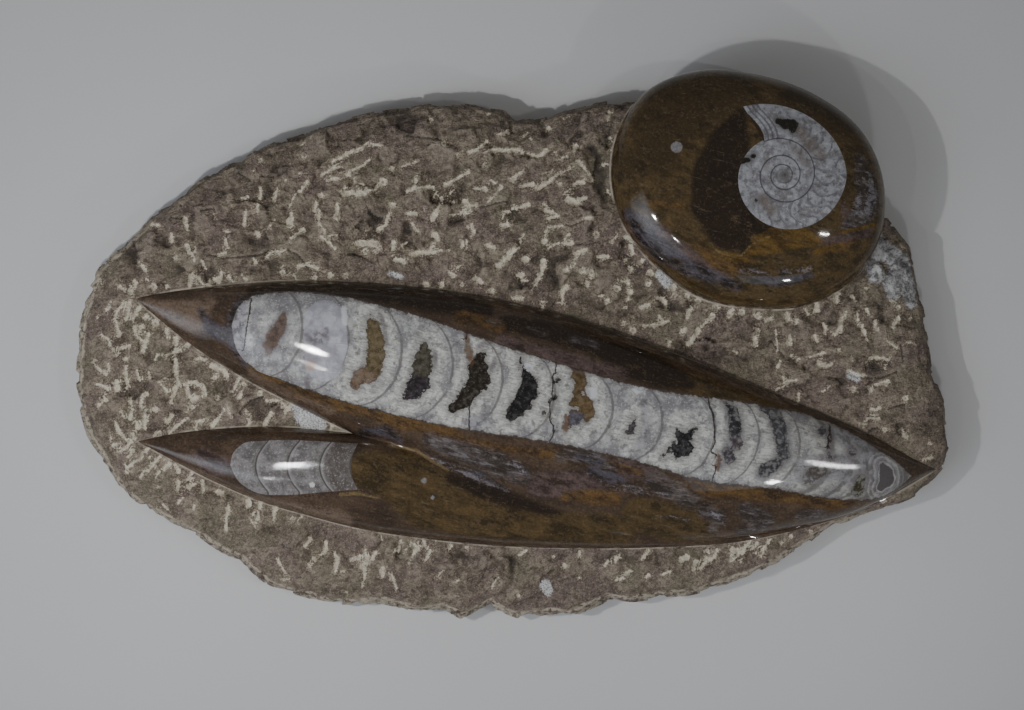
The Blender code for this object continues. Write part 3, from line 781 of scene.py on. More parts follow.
# %% The relief of the top
FLAKE_SIZE, FLAKE_SLOPE = 12.0, 0.16
CHIP_FLAKE_SIZE, CHIP_FLAKE_SLOPE = 5.0, 0.2
GRAIN, GRAIN_SIZE = 0.35, 2.8
WARP, WARP_SIZE = 2.5, 6
HOLLOW_DEPTH = 2.2
CALM_WIDTH, CALMEST = 4, 0.12  # beside the polish the relief thins out to this share
WORN_NORTH, WORN_WIDTH, WORN_SHARE = 30, 17, 0.45  # the brim is smoother south of this line
HOLLOWS = [
    [(-46, 53.4, 1.8), (-46, 48.1, 2.6), (-46, 45.5, 1.8)],
    [(-26.2, 55.2, 1.8), (-22.7, 55.6, 1.8)],
    [(34.5, 86, 3.0), (38.9, 74, 3.2), (41.6, 66, 2.4)],
    [(14.7, 93.9, 1.3)],
    [(-152.7, 46.5, 0.9), (-152.4, 44, 1.2)],
    [(-146.8, 45.2, 1.2)],
    [(-62, 59, 0.8), (-58.5, 56.5, 1.4)],
    [(26.2, 79, 1.2)],
    [(72.5, 0.6, 0.9), (74, 1.8, 0.9)],
    [(85.6, -0.8, 1.3)],
    [(173, 36.5, 1.6), (175, 36, 1.2)],
    [(-0.2, -94.5, 0.8), (0.3, -103, 0.9), (-1.5, -107, 1.7), (-4.5, -109, 1.4)],
    [(17.8, -106.4, 0.9)],
    [(128.5, -10, 0.9), (121, -5, 0.7)],
]
CREVICES = [
    [(-151, 56.5), (-144, 56)], [(-137, 59.6), (-131, 60.5)], [(-121, 76.7), (-115.5, 72.8)],
    [(-111.5, 74.5), (-105, 74.5)], [(-48, 92.6), (-31.5, 90.8)],
    [(-134, 40.2), (-127.5, 38.5), (-119.5, 39), (-111.5, 39.8), (-107, 42), (-100.5, 42.8),
     (-94.4, 40.2), (-91.7, 36.7)],
    [(-64, 61.3), (-61.4, 57.4), (-57, 56.5)], [(22, 53.8), (26, 52.5), (31, 54.7)],
    [(-8.6, -101.4), (-5.5, -104)], [(149, -11.7), (156, -14.4), (163, -14), (169, -11.3)],
    [(165.7, -27.5), (172.3, -25.8)], [(113.7, 2.4), (117.3, -2), (120, -5.1)],
    [(-14, 60.8), (-5, 63.1), (-2.4, 63.5)], [(-120.3, -29.3), (-115, -24), (-109.8, -22.3)],
    [(171, 0.2), (172.3, -7.3)], [(156.2, -38.4), (158.6, -36.4), (162, -36.3)],
]


def flakes(points, size, slope, seed):
    """Flat facets, each tilted and lifted its own way, as broken stone has."""
    rise = np.empty(len(points))
    for i, p in enumerate(points):
        spot = Vector(p) / size + Vector((seed, 0, 0))
        middle = noise.voronoi(spot)[1][0]
        tilt = noise.cell_vector(middle * 7.31) - Vector((0.5, 0.5, 0.5))
        rise[i] = ((spot - middle).dot(tilt) * 2 + tilt.z * 0.7) * slope * size
    return rise


x, y, ring = corners(stone).T
angle = np.arctan2(y, x)
edge_reach = slab_reach(angle)
inward = np.maximum(edge_reach - BRIM_INSET - np.hypot(x, y), 0)
outside, edge_pale = from_polish(x, y)
level = np.stack([x, y, 0 * x], -1)
warped = [noise_at(level, WARP_SIZE, 3.0), noise_at(level, WARP_SIZE, 7.0), 0 * x]
warped = level + np.stack(warped, -1) * WARP
swell = SWELL * noise_at(level, SWELL_SIZE) + LUMP * noise_at(level, LUMP_SIZE)
base = FIELD + swell - SHOULDER_DROP * np.maximum(0, 1 - inward / SHOULDER_WIDTH) ** 2
detail = flakes(warped, FLAKE_SIZE, FLAKE_SLOPE, 3.0)
detail += flakes(warped, CHIP_FLAKE_SIZE, CHIP_FLAKE_SLOPE, 8.0)
detail += GRAIN * noise_at(level, GRAIN_SIZE, 5.0, detail=4)
detail -= HOLLOW_DEPTH * np.clip(within(x, y, *HOLLOWS) / 2.0 + 0.5, 0, 1)
calm = np.clip((outside + 0.5) / CALM_WIDTH, CALMEST, 1)
worn = np.where((y < WORN_NORTH) & (inward < WORN_WIDTH), WORN_SHARE, 1.0)
top = base + (detail * worn - 0.3) * calm
low, high = top[ring == 0].min(), top.max()
print("the field lies between", round(float(low), 1), "and", round(float(high), 1), "mm")

# %% [markdown]
# The corners of the slab are a millimetre apart, too far to draw a narrow mark by its depth
# alone. So each corner also stores where it lies beside its nearest blow: how far along and how
# far across, with that blow's length and its two radii. Those numbers are straight lines
# between corners, and the material works out the tapered shape from them exactly.

# %% One groove and one bruise for each blow
GROOVE, GROOVE_DEEPEST = 0.5, 1.2
BLOW_REACH = 12  # only corners this near to a blow are looked at
PITTED_SHARE = 0.6
bruise = np.full(len(x), -9.0)
marks = {name: np.zeros(len(x)) for name in ("along", "across", "length", "start", "end", "pit")}
kept = 0
for stroke in blows:
    (bx, by, _), (ex, ey, _) = stroke[0], stroke[-1]
    if in_ridges(bx, by) or in_button(bx, by) or in_ridges(ex, ey) or in_button(ex, ey):
        continue
    pitted = len(stroke) == 1 and chance.random() < PITTED_SHARE
    for (ax, ay, start), (cx, cy, end) in spans(stroke):
        near = (np.abs(x - ax) < BLOW_REACH) & (np.abs(y - ay) < BLOW_REACH)
        near = np.flatnonzero(near & (ring == 0))
        turn, length = math.atan2(cy - ay, cx - ax), max(math.dist((ax, ay), (cx, cy)), 0.01)
        along = (x[near] - ax) * math.cos(turn) + (y[near] - ay) * math.sin(turn)
        across = (y[near] - ay) * math.cos(turn) - (x[near] - ax) * math.sin(turn)
        inside = np.clip(along, 0, length)
        deep = start + (end - start) * inside / length - np.hypot(along - inside, across)
        nearer = deep > bruise[near]
        spots = near[nearer]
        bruise[spots] = deep[nearer]
        for name, value in zip(marks, (along, across, length, start, end, pitted)):
            marks[name][spots] = (value + 0 * along)[nearer]
        wide = max(start, end)
        top[near] -= GROOVE * min(wide, GROOVE_DEEPEST) * np.clip(deep / wide + 0.3, 0, 1.1)
    kept += 1
print(kept, "blows land on the field")

# %% The broken side
SIDE_INSET = [(0, 4.5), (5, 1.4), (10, 0), (14.5, 0.7), (19, BRIM_INSET), (40, BRIM_INSET)]
SIDE_FLAKE_SIZE, SIDE_FLAKE_SLOPE = 9.0, 0.28
SIDE_GRAIN, SIDE_GRAIN_SIZE = 0.5, 3.0
DEEPEST_BITE, HIGHEST_BUMP = -1.6, 1.2
depth = -ring / SIDE_RINGS
height = np.where(ring == 0, top, top * (1 - depth))
broken = np.stack([x, y, height * 1.6], -1)
bite = flakes(broken, SIDE_FLAKE_SIZE, SIDE_FLAKE_SLOPE, 1.0)
bite += SIDE_GRAIN * noise_at(broken, SIDE_GRAIN_SIZE, 2.0, detail=3)
bite = np.clip(bite, DEEPEST_BITE, HIGHEST_BUMP) * np.clip(depth * 8, 0, 1) * np.clip(height / 3, 0, 1)
side_reach = edge_reach - smooth_line(SIDE_INSET)(height) + bite - 0.4
on_side = ring < 0
x = np.where(on_side, side_reach * np.cos(angle), x)
y = np.where(on_side, side_reach * np.sin(angle), y)
stone.data.vertices.foreach_set("co", np.stack([x, y, height], -1).ravel())
print("the side is", SIDE_RINGS, "rings deep")

# %% The numbers that the rough stone's material reads
STONE_PATCHES = {
    "crust": [
        [(-95, -27, 2.2), (-91.5, -30.8, 4.4), (-88, -33.6, 4.2), (-84, -35, 2.4)],
        [(65.3, 31.4, 2.2), (68.4, 27.5, 2.2)],
        [(14.7, -105.4, 2.6), (16.1, -108.5, 1.8)],
        [(148.9, -13, 1.8), (151.6, -14.3, 1.8)],
        [(-53.5, 31.9, 0.9), (-49.1, 30.5, 1.3)],
    ],
    "chalk": [
        [(161.3, 47, 3), (158.6, 36.7, 3.2), (160, 31, 3.5)],
        [(164.3, 42, 4), (170.9, 36.7, 5), (174.5, 26.6, 4), (176.4, 19.5, 3)],
        [(166.5, 29, 4), (168, 23, 3)],
    ],
}
add_depths(stone, x, y, STONE_PATCHES)
relief = top - base
for name, values in {
    **marks,
    "bruise": bruise,
    "crevice": from_cracks(x, y, *CREVICES),
    "inward": np.where(ring == 0, inward, -1),
    "beside_polish": outside,
    "edge_pale": np.where(ring == 0, edge_pale, 0),
    "relief": np.where(on_side, bite * 0.5, relief),
}.items():
    add_number(stone, name, values)
print("relief from", round(float(relief.min()), 1), "to", round(float(relief.max()), 1), "mm")

# %% [markdown]
# The stone itself is a warm grey-brown, mottled at every scale, and iron stains it here and there.
# Its hollows are painted darker, as painted shade, and its high spots painted lighter. The
# bruises are pale and powdery, with ragged ends, and a thin broken line of the same powder runs
# along the polished edges, painted brightest on the sides that face the lamps as a painted
# highlight. A pale rim along the slab's southwest edge is a painted highlight too, and each
# crevice is a dark line of painted shade with a pale lip of painted highlight beside it.

# %% Patterns in the rough limestone, its own colors, and painted light and shade
GRAIN_TURN = 0.35
limestone = Finish("rough limestone", roughness=0.85)
relief = limestone.number("relief")
grit = limestone.noise(0.7, detail=3, rough=0.75)
speckle = limestone.noise(1.7, detail=4, rough=0.7, seed=7)
mottle = limestone.noise(7, detail=5, rough=0.68, seed=4)
patch = limestone.noise(17, detail=4, rough=0.6, seed=9)
creases = limestone.noise(11, detail=5, rough=0.6, stretch=(1.6, 1, 1), turn=GRAIN_TURN, seed=31)
creases = (creases - 0.5).math("ABSOLUTE")
seam = limestone.cells(15, "DISTANCE_TO_EDGE", stretch=(2, 1, 1), turn=GRAIN_TURN) + mottle.sway(0.5)
crevice = limestone.number("crevice") + grit.sway(1.2) + speckle.sway(2.4)
color = limestone.layers(
    (114, 102, 90),
    (mottle.step(0.36, 0.64), (176, 162, 144)),
    (patch.step(0.5, 0.6) * 0.6, (136, 117, 112)),
    (patch.step(0.47, 0.38) * 0.6, (140, 132, 112)),
    (creases.step(0.035, 0.0) * mottle.step(0.42, 0.55) * 0.5, (70, 61, 54)),
    (grit.step(0.5, 0.34) * 0.48, (74, 64, 55)),
    (speckle.step(0.48, 0.36) * 0.6, (76, 66, 57)),
    (grit.step(0.55, 0.66) * 0.52, (208, 194, 172)),
    (speckle.step(0.57, 0.68) * 0.5, (200, 186, 163)),
    # Painted shade: darker where the relief is low, in the hollows; painted light: lighter on the high
    # spots.
    (relief.step(-0.6, -2.2) * 0.7, (56, 48, 42)),
    (relief.step(0.3, 1.5) * 0.4, (184, 172, 156)),
    (seam.line(0.02) * patch.step(0.46, 0.56) * 0.55, (60, 52, 46)),
    # Painted shade: a dark line along each crevice, with a pale line of painted highlight along one lip.
    ((crevice - 0.8).line(1.2) * 0.3, (190, 178, 160)),
    (crevice.line(0.6) * 0.7, (56, 48, 42)),
)
print("the bare stone has", len(limestone.tree.nodes), "nodes")

# %% The bruises, the dust and the crusts over them
along, across, length, start, end, pit = (limestone.number(n) for n in marks)
inside = along.math("MAXIMUM", 0).math("MINIMUM", length)
reach = start + (end - start) * inside / length
past = along - inside
bruise = reach - (across * across + past * past).math("SQRT")
bruise = bruise.math("MINIMUM", limestone.number("bruise") + 0.8)
ragged = grit.sway(3) + speckle.sway(5)
clods = limestone.noise(2.6, detail=3, rough=0.6, seed=17)
powder = limestone.mix(grit.step(0.32, 0.58), (226, 207, 176), (255, 247, 226))
struck = (bruise + ragged * 0.45 + (clods - 0.52) * 1.8).step(-0.5, 0.4)
pitted = (bruise - reach * 0.62 + ragged * 0.3).step(-0.2, 0.3) * pit
# Painted highlight: a pale rim just inside the slab's broken edge on its southwest side, which faces the
# lamps.
lit_slab_rim = limestone.number("inward") + ragged * 0.5 + mottle.sway(5)
southwest = (limestone.y + limestone.x * 0.4).step(10, -30)
lit_slab_rim = lit_slab_rim.step(1.4, 0.4) * lit_slab_rim.step(-2.0, -0.8) * southwest
# Painted highlight over bruised stone: a thin pale line beside the polish, brightest where its edge faces
# the lamps.
edge_line = (limestone.number("beside_polish") + ragged * 0.1).step(0.8, 0.3)
edge_line = edge_line * limestone.number("edge_pale") * limestone.noise(9, seed=21).step(0.38, 0.54)
chalk = limestone.layers(
    (126, 124, 124),
    (speckle.step(0.4, 0.6), (198, 197, 198)),
    (mottle.step(0.5, 0.6) * 0.8, (240, 240, 240)),
    (clods.step(0.4, 0.3) * 0.5, (112, 98, 84)),
)
crust = (limestone.number("crust") + ragged * 0.6).step(-0.6, 0.8)
white = limestone.mix(grit.step(0.36, 0.56), (150, 149, 148), (250, 249, 247))
color = limestone.layers(
    color,
    ((bruise + ragged + 1.8).step(0.0, 2.0) * grit.step(0.5, 0.62) * 0.6, (224, 206, 176)),
    (struck * (clods.step(0.3, 0.6) * 0.3 + 0.7), powder),
    (pitted * 0.6, (124, 112, 100)),
    # painted highlight on the slab's southwest rim
    (lit_slab_rim * clods.step(0.4, 0.52) * 0.7, (232, 220, 198)),
    # painted highlight along the polished edges
    (edge_line * 0.75, (222, 212, 194)),
    ((limestone.number("chalk") + ragged * 0.7).step(-0.8, 0.8) * 0.9, chalk),
    (crust, white),
)
broken = grit * 0.3 + speckle * 0.35 + creases.step(0.0, 0.16) * 0.5
limestone.close(color, broken - bruise.step(-0.4, 0.9) * 0.25, 2.0)
declare(stone, limestone, "limestone", "matrix", cut=False)

# %% [markdown]
# ## The polished ridges
#
# Both ridges are one smooth sheet: grids draped over the height formula between the outlines,
# with rows closer together near the edges, where the surface turns down most sharply. The
# sheet's rim is pulled down into the slab and closed, because a solid can be cut cleanly.


# %% Draping grids over the ridges
def ridge_sheet(mesh, west, east, south, north, stations, columns):
    """A grid draped over the ridges between two lines, closer together towards them."""
    made, u, v = grid(mesh, stations, columns)
    x = west + (east - west) * (u + 1) / 2
    y = south(x) + (north(x) - south(x)) * (1 - np.cos(np.pi * (v + 1) / 2)) / 2
    put(made, x, y, ridge_height(x, y))


ridges = bmesh.new()
for first, last, south, north, stations, columns in (
    (west, notch_x, large_south, large_north, 80, 56),
    (WEST_TIP_SMALL[0], notch_x, small_south, small_north, 80, 40),
    (notch_x, east, valley, large_north, 210, 56),
    (notch_x, east, small_south, valley, 210, 40),
):
    ridge_sheet(ridges, first, last, south, north, stations, columns)
close_solid(ridges, ROOT)
ridge_solid = to_object(ridges, "polished_ridges")
print("the ridges have", len(ridge_solid.data.vertices), "corners")

# %% [markdown]
# ## The button
#
# The button starts as a ball. Powers of the ball's own coordinates flatten it to the rounded
# section of a cabochon, and its outline comes from the measured curve around its middle.

# %% A ball becomes the button
BUTTON_MERIDIANS, BUTTON_PARALLELS = 220, 96
button = bmesh.new()
bmesh.ops.create_uvsphere(button, u_segments=BUTTON_MERIDIANS, v_segments=BUTTON_PARALLELS, radius=1)
ball_x, ball_y, ball_z = np.array([v.co[:] for v in button.verts]).T
power = 2 / BUTTON_ROUNDNESS
turn = np.arctan2(ball_y, ball_x)
out = button_reach(turn) * np.hypot(ball_x, ball_y) ** power
tall = np.where(ball_z > 0, BUTTON_CROWN, -BUTTON_ROOT) * np.abs(ball_z) ** power
x, y = BUTTON_MIDDLE[0] + out * np.cos(turn), BUTTON_MIDDLE[1] + out * np.sin(turn)
put(button.verts, x, y, BUTTON_RIM + tall)
button_solid = to_object(button, "polished_button")
print("the button is", round(float(tall.max()), 1), "mm proud of its rim")

# %% [markdown]
# ## The shells
#
# A shell is the part of the stone that a trough cuts out: its walls stand straight up through
# the polish along the shell's outline, and its floor is a bowl. The trough is cut out of the
# polished solid to leave a pocket, and what the two share is the shell, flush with the polish
# all round because both come from the same surface.

# %% Troughs for the two straight shells
ABOVE = 60.0
LARGE_SHELL_NORTH = [
    (-122, 9), (-119.5, 16), (-114.5, 21), (-107, 23), (-87.5, 23.5), (-70, 21), (-48.5, 15.5),
    (3.5, -2), (56, -17.5), (108, -25.5), (129.5, -30), (147, -37), (160, -45), (169, -51),
    (175.5, -57),
]
LARGE_SHELL_SOUTH = [
    (-122, 9), (-120.5, 0), (-114.5, -8.5), (-100.5, -15), (-79, -22.5), (-31, -34.5),
    (21, -43), (47, -48.5), (88, -59.5), (108, -61.5), (147, -67.5), (160, -67), (169, -63),
    (175.5, -57),
]
SMALL_SHELL_NORTH = [(-123, -52), (-121.5, -46.5), (-117, -42.5), (-108.5, -41.5), (-67, -42.5)]
SMALL_SHELL_SOUTH = [
    (-123, -52), (-119, -59.5), (-112, -64), (-98.5, -65), (-83.5, -63.8), (-67, -62.5),
]
SMALL_SHELL_BOW = 3.0
LARGE_SHELL_WALL, SMALL_SHELL_WALL = 8.0, 5.5
BOWL = 0.4


def straight_shell(south, north, wall, bow, stations, columns):
    """The trough of a straight shell, with its walls carried up clear of the polish."""
    mesh = bmesh.new()
    made, u, v = grid(mesh, stations, columns)
    along = (1 - np.cos(np.pi * (u + 1) / 2)) / 2
    across = np.sin(np.pi * v / 2)
    (low_x, low_y), (high_x, high_y) = course(south)(along), course(north)(along)
    half = np.hypot(high_x - low_x, high_y - low_y) / 2
    middle_x, middle_y = (low_x + high_x) / 2, (low_y + high_y) / 2
    bulge = np.maximum(0, 1 - across**2)
    x = middle_x + (high_x - low_x) / 2 * across - bow * along * bulge
    y = middle_y + (high_y - low_y) / 2 * across
    z = ridge_height(middle_x, middle_y) - wall - BOWL * half * np.sqrt(bulge)
    put(made, x, y, z)
    close_solid(mesh, ABOVE)
    return mesh


large_trough = straight_shell(LARGE_SHELL_SOUTH, LARGE_SHELL_NORTH, LARGE_SHELL_WALL, 0, 150, 12)
small_lines = SMALL_SHELL_SOUTH, SMALL_SHELL_NORTH
small_trough = straight_shell(*small_lines, SMALL_SHELL_WALL, SMALL_SHELL_BOW, 50, 12)
print("troughs with", len(large_trough.faces), "and", len(small_trough.faces), "faces")

# %% The goniatite's trough, around a spiral that doubles with each turn
SPIRAL_MIDDLE = (117, 73.5)
SPIRAL_MOUTH = math.radians(120)
SPIRAL_REACH = 34.8
SPIRAL_FLATTENING, SPIRAL_FLAT_ARC = 0.105, math.radians(125)
SPIRAL_FLOOR = [(37.5, 0.9), (35.0, 0.6)]
SPIRAL_WALL = 40.0


def spiral_trough(count):
    """A spiral outline with a bowl below, carried up clear of the polish."""
    mesh = bmesh.new()
    made = bmesh.ops.create_circle(mesh, cap_ends=False, radius=1, segments=count)["verts"]
    for i, vert in enumerate(made):
        angle = SPIRAL_MOUTH - math.tau * (1 - i / (count - 1))
        flat = max(0.0, math.sin(math.pi * angle / SPIRAL_FLAT_ARC)) if angle > 0 else 0.0
        reach = SPIRAL_REACH * 2 ** ((angle - SPIRAL_MOUTH) / math.tau)
        reach *= 1 - SPIRAL_FLATTENING * flat
        vert.co.x = SPIRAL_MIDDLE[0] + reach * math.cos(angle)
        vert.co.y = SPIRAL_MIDDLE[1] + reach * math.sin(angle)
        vert.co.z = ABOVE
    top = list(mesh.edges)
    rim = pull_rim(mesh, top, lambda corner: Vector((corner.x, corner.y, SPIRAL_WALL)))
    rim = [e for e in rim if e not in top]
    middle, taken = Vector(SPIRAL_MIDDLE), 1.0
    for height, share in SPIRAL_FLOOR:
        step, taken = share / taken, share

        def place(corner, height=height, step=step):
            inner = middle + (corner.xy - middle) * step
            return Vector((inner.x, inner.y, height))

        rim = pull_rim(mesh, rim, place)
    bmesh.ops.edgeloop_fill(mesh, edges=rim)
    bmesh.ops.edgeloop_fill(mesh, edges=open_rim(mesh))
    bmesh.ops.recalc_face_normals(mesh, faces=mesh.faces)
    return mesh


coil_trough = spiral_trough(160)
print("the spiral trough has", len(coil_trough.faces), "faces")


# %% Cutting the pockets and keeping the shells
def combine(first, second, operation):
    """Cut one solid out of another, or keep what they share, and apply the result."""
    cut = first.modifiers.new(operation, "BOOLEAN")
    cut.operation, cut.solver, cut.object = operation, "EXACT", second
    depsgraph = bpy.context.evaluated_depsgraph_get()
    result = bpy.data.meshes.new_from_object(first.evaluated_get(depsgraph))
    first.modifiers.clear()
    first.data = result


shells = {}
for name, trough, around in (
    ("large_orthoceras_shell", large_trough, ridge_solid),
    ("small_orthoceras_shell", small_trough, ridge_solid),
    ("goniatite_shell", coil_trough, button_solid),
):
    shell = to_object(trough, name)
    cutter = to_object(bmesh.new(), "cutter")
    cutter.data = shell.data.copy()
    combine(shell, around, "INTERSECT")
    combine(around, cutter, "DIFFERENCE")
    bpy.data.objects.remove(cutter)
    shells[name] = shell
    print(name, "has", len(shell.data.polygons), "faces")

# %% [markdown]
# ## Stains and painted light in the polish
#
# The ridges are cut from a dark brown limestone that iron and mud stained while it was a
# seabed. Each kind of stain is a set of strokes, and its depth goes onto the mesh as one number.
# Some sets paint light instead: the sheen streaks, the blue set and the button's southwest purple
# stroke are painted reflections, and the dark set on the ridges and the button's shade set are
# painted shade.

# %% Strokes for the stains, painted reflections and painted shade of the ridges
RIDGE_STAINS_AND_PAINTED_LIGHT = {
    "olive": [
        [(-62.6, -54.2, 8.7), (-48.4, -57.7, 12.2), (-35.4, -66.4, 13.9), (-18, -73.8, 10.4),
         (3.7, -78.2, 7.8), (25.5, -79.6, 7), (47.3, -80.6, 7)],
        [(55.9, -73.8, 8.7), (73.3, -76.9, 8.7), (84.5, -81.5, 4.4)],
        [(64.5, -11.6, 3.9), (81.8, -18.5, 4.8), (99.2, -24.2, 3.9), (116.7, -29.4, 3),
         (151.7, -42.5, 2.2)],
    ],
    "rust": [
        [(-120.3, -2.9, 1.7), (-108.6, -11.6, 2.6), (-92, -19.9, 2.6), (-70.1, -26.8, 2.6),
         (-48.4, -33.3, 2.6), (-24.5, -38, 2.2)],
        [(77.3, -60.5, 2.6), (88.1, -62.7, 3.2), (101.2, -63.6, 3.5), (120.8, -65, 3),
         (138.7, -68.6, 3.9), (156.8, -67.7, 2.2)],
        [(24, -65.2, 2.4), (34, -65.6, 3), (44.9, -66.7, 2.6)],
        [(-22.3, -40, 1.5), (-5, -44, 1.7), (21, -47.5, 1.9), (55.5, -54.5, 1.9)],
        [(-21.5, 12.3, 3), (-5, 8.4, 2.6)],
    ],
    "gold": [
        [(-53.9, -43.5, 0.5), (-41.2, -45.7, 0.6), (-36.9, -49.1, 0.5), (-27.7, -54.3, 0.5)],
        [(-74.6, -64.7, 0.7), (-66.3, -64.2, 0.7), (-58, -66, 0.5)],
    ],
    "haze": [
        [(-35.4, -41.1, 3.5), (-18, -47.6, 5.2), (-5, -51.9, 6.1), (4.6, -56.7, 4.3)],
        [(21, -47.5, 3), (33.9, -47.4, 3.9), (42.6, -54, 3.5)],
        [(62.1, -58.3, 5.2), (77.4, -67.1, 4.3)],
        [(84, -71.5, 3.5), (89.8, -74.7, 3.5), (87.4, -78.8, 2.6)],
        [(101.4, -71.6, 3.9), (110.5, -76.1, 4.4), (99.9, -81.2, 2.6)],
        [(125.8, -74, 2.6), (135.6, -73.2, 2.6)],
        [(-121.7, 15.3, 1.4), (-118.9, 21.4, 1.2)],
        [(-9.8, 11, 1.3), (-5.4, 9.7, 1.3)],
        [(8, 7.5, 1.3), (15, 5.8, 1.5)],
        [(26.3, 3.6, 1.5), (36.7, 0.6, 1.7)],
    ],
    "purple": [
        [(12.4, -60.6, 6.1), (29.7, -58.4, 5.2), (46.9, -54, 5.2), (59.9, -53.9, 3.5)],
        [(-135.4, -48, 3.9), (-130.9, -52.3, 5.2), (-125.8, -52.2, 3.9)],
        [(-5, 2.3, 2.6), (12.3, -2.9, 3.9), (29.6, -7.7, 3.9), (47.8, -12, 3)],
    ],
    # Painted shade: dark bands on the large ridge's north flank and in the valley between the ridges.
    "dark": [
        [(-113.9, 23.6, 1.7), (-92.2, 25.4, 2.6), (-70.4, 24.6, 3.5), (-48.6, 21.9, 4.4),
         (-26.8, 18.4, 4.8), (-12.8, 14.9, 4.8)],
        [(-2.8, 9.7, 3.5), (12.4, 7.1, 4.3), (38.4, -1.2, 4.3), (55.8, -6.4, 5.2), (73.2, -14.2, 3.5)],
        [(50.5, -11.6, 2.6), (64.3, -15.9, 2.6), (77.5, -16.8, 2.2)],
        [(-27.5, -57.4, 1.8), (-13.7, -62.3, 3.4), (-0.7, -67.1, 3.6), (12.4, -71, 2.4),
         (20.5, -73, 1.2)],
    ],
    # Painted reflection: dark bluish sheen on the flanks around the large shell's west end and beside the
    # valley.
    "blue": [
        [(-65.4, -37.9, 2.1), (-55.1, -37.3, 2.5), (-48.6, -41.3, 1.2)],
        [(-135.8, 15.4, 1.6), (-131.7, 7.7, 3), (-127, 5.5, 3.4)],
        [(-116.2, 20, 1.6), (-121.4, 13.2, 2.2), (-122.9, 4.5, 2.4), (-119.9, -2.9, 1.8),
         (-115.7, -8.1, 1.2)],
        [(-37.7, -45.6, 0.8), (-24.6, -51.2, 1), (-13.7, -56.4, 1.2), (-2.8, -62.1, 0.8)],
        [(27.5, -48.7, 1.7), (38.3, -50.5, 1.9)],
        [(34, -54, 1.7), (47, -58.3, 2.2)],
    ],
    # Painted reflection: pale streaks where the ridges' flanks mirror soft light.
    "sheen_streaks": [
        [(-35.4, -49.0, 0.7), (-24.5, -53.8, 1.1), (-13.6, -58.1, 1.1), (-1.5, -63.3, 0.6)],
        [(-6.3, -46.3, 0.6), (0.3, -50.6, 1.0), (6.3, -54.9, 0.7)],
        [(31, -54, 0.5), (38.3, -58.2, 0.6), (46, -61.8, 0.5)],
        [(48.5, -60.9, 0.9), (57.6, -62.6, 1.1), (67.5, -64.4, 0.7)],
        [(62.5, -73.8, 0.4), (69.4, -74.4, 0.5), (76.3, -76.2, 0.4)],
        [(86.5, -72.5, 0.6), (89.1, -74.3, 1.1), (91.7, -77, 0.6)],
    ],
    "spot": [[(-38.2, -58.5, 1.3)], [(-34.5, -65.9, 1.0)]],
    "tan": [
        [(-160, 19, 1.5), (-148, 15, 5.5), (-139, 13, 7.5), (-133, 19, 4)],
        [(-156, -50, 2), (-138, -58, 3), (-118, -66, 2.2), (-96, -71, 2.6), (-72, -76, 3.5)],
        [(-114, -12, 2), (-98, -20, 2.2), (-80, -28, 2.4)],
    ],
}
print("the ridges have", {name: len(strokes) for name, strokes in RIDGE_STAINS_AND_PAINTED_LIGHT.items()})

# %% [markdown]
# The button holds the living chamber of its goniatite, a broad crescent of darker mud west of
# the coil, with a thin golden line where the shell's wall ran. A single white disc beside it
# is a section through a sea lily's stem.

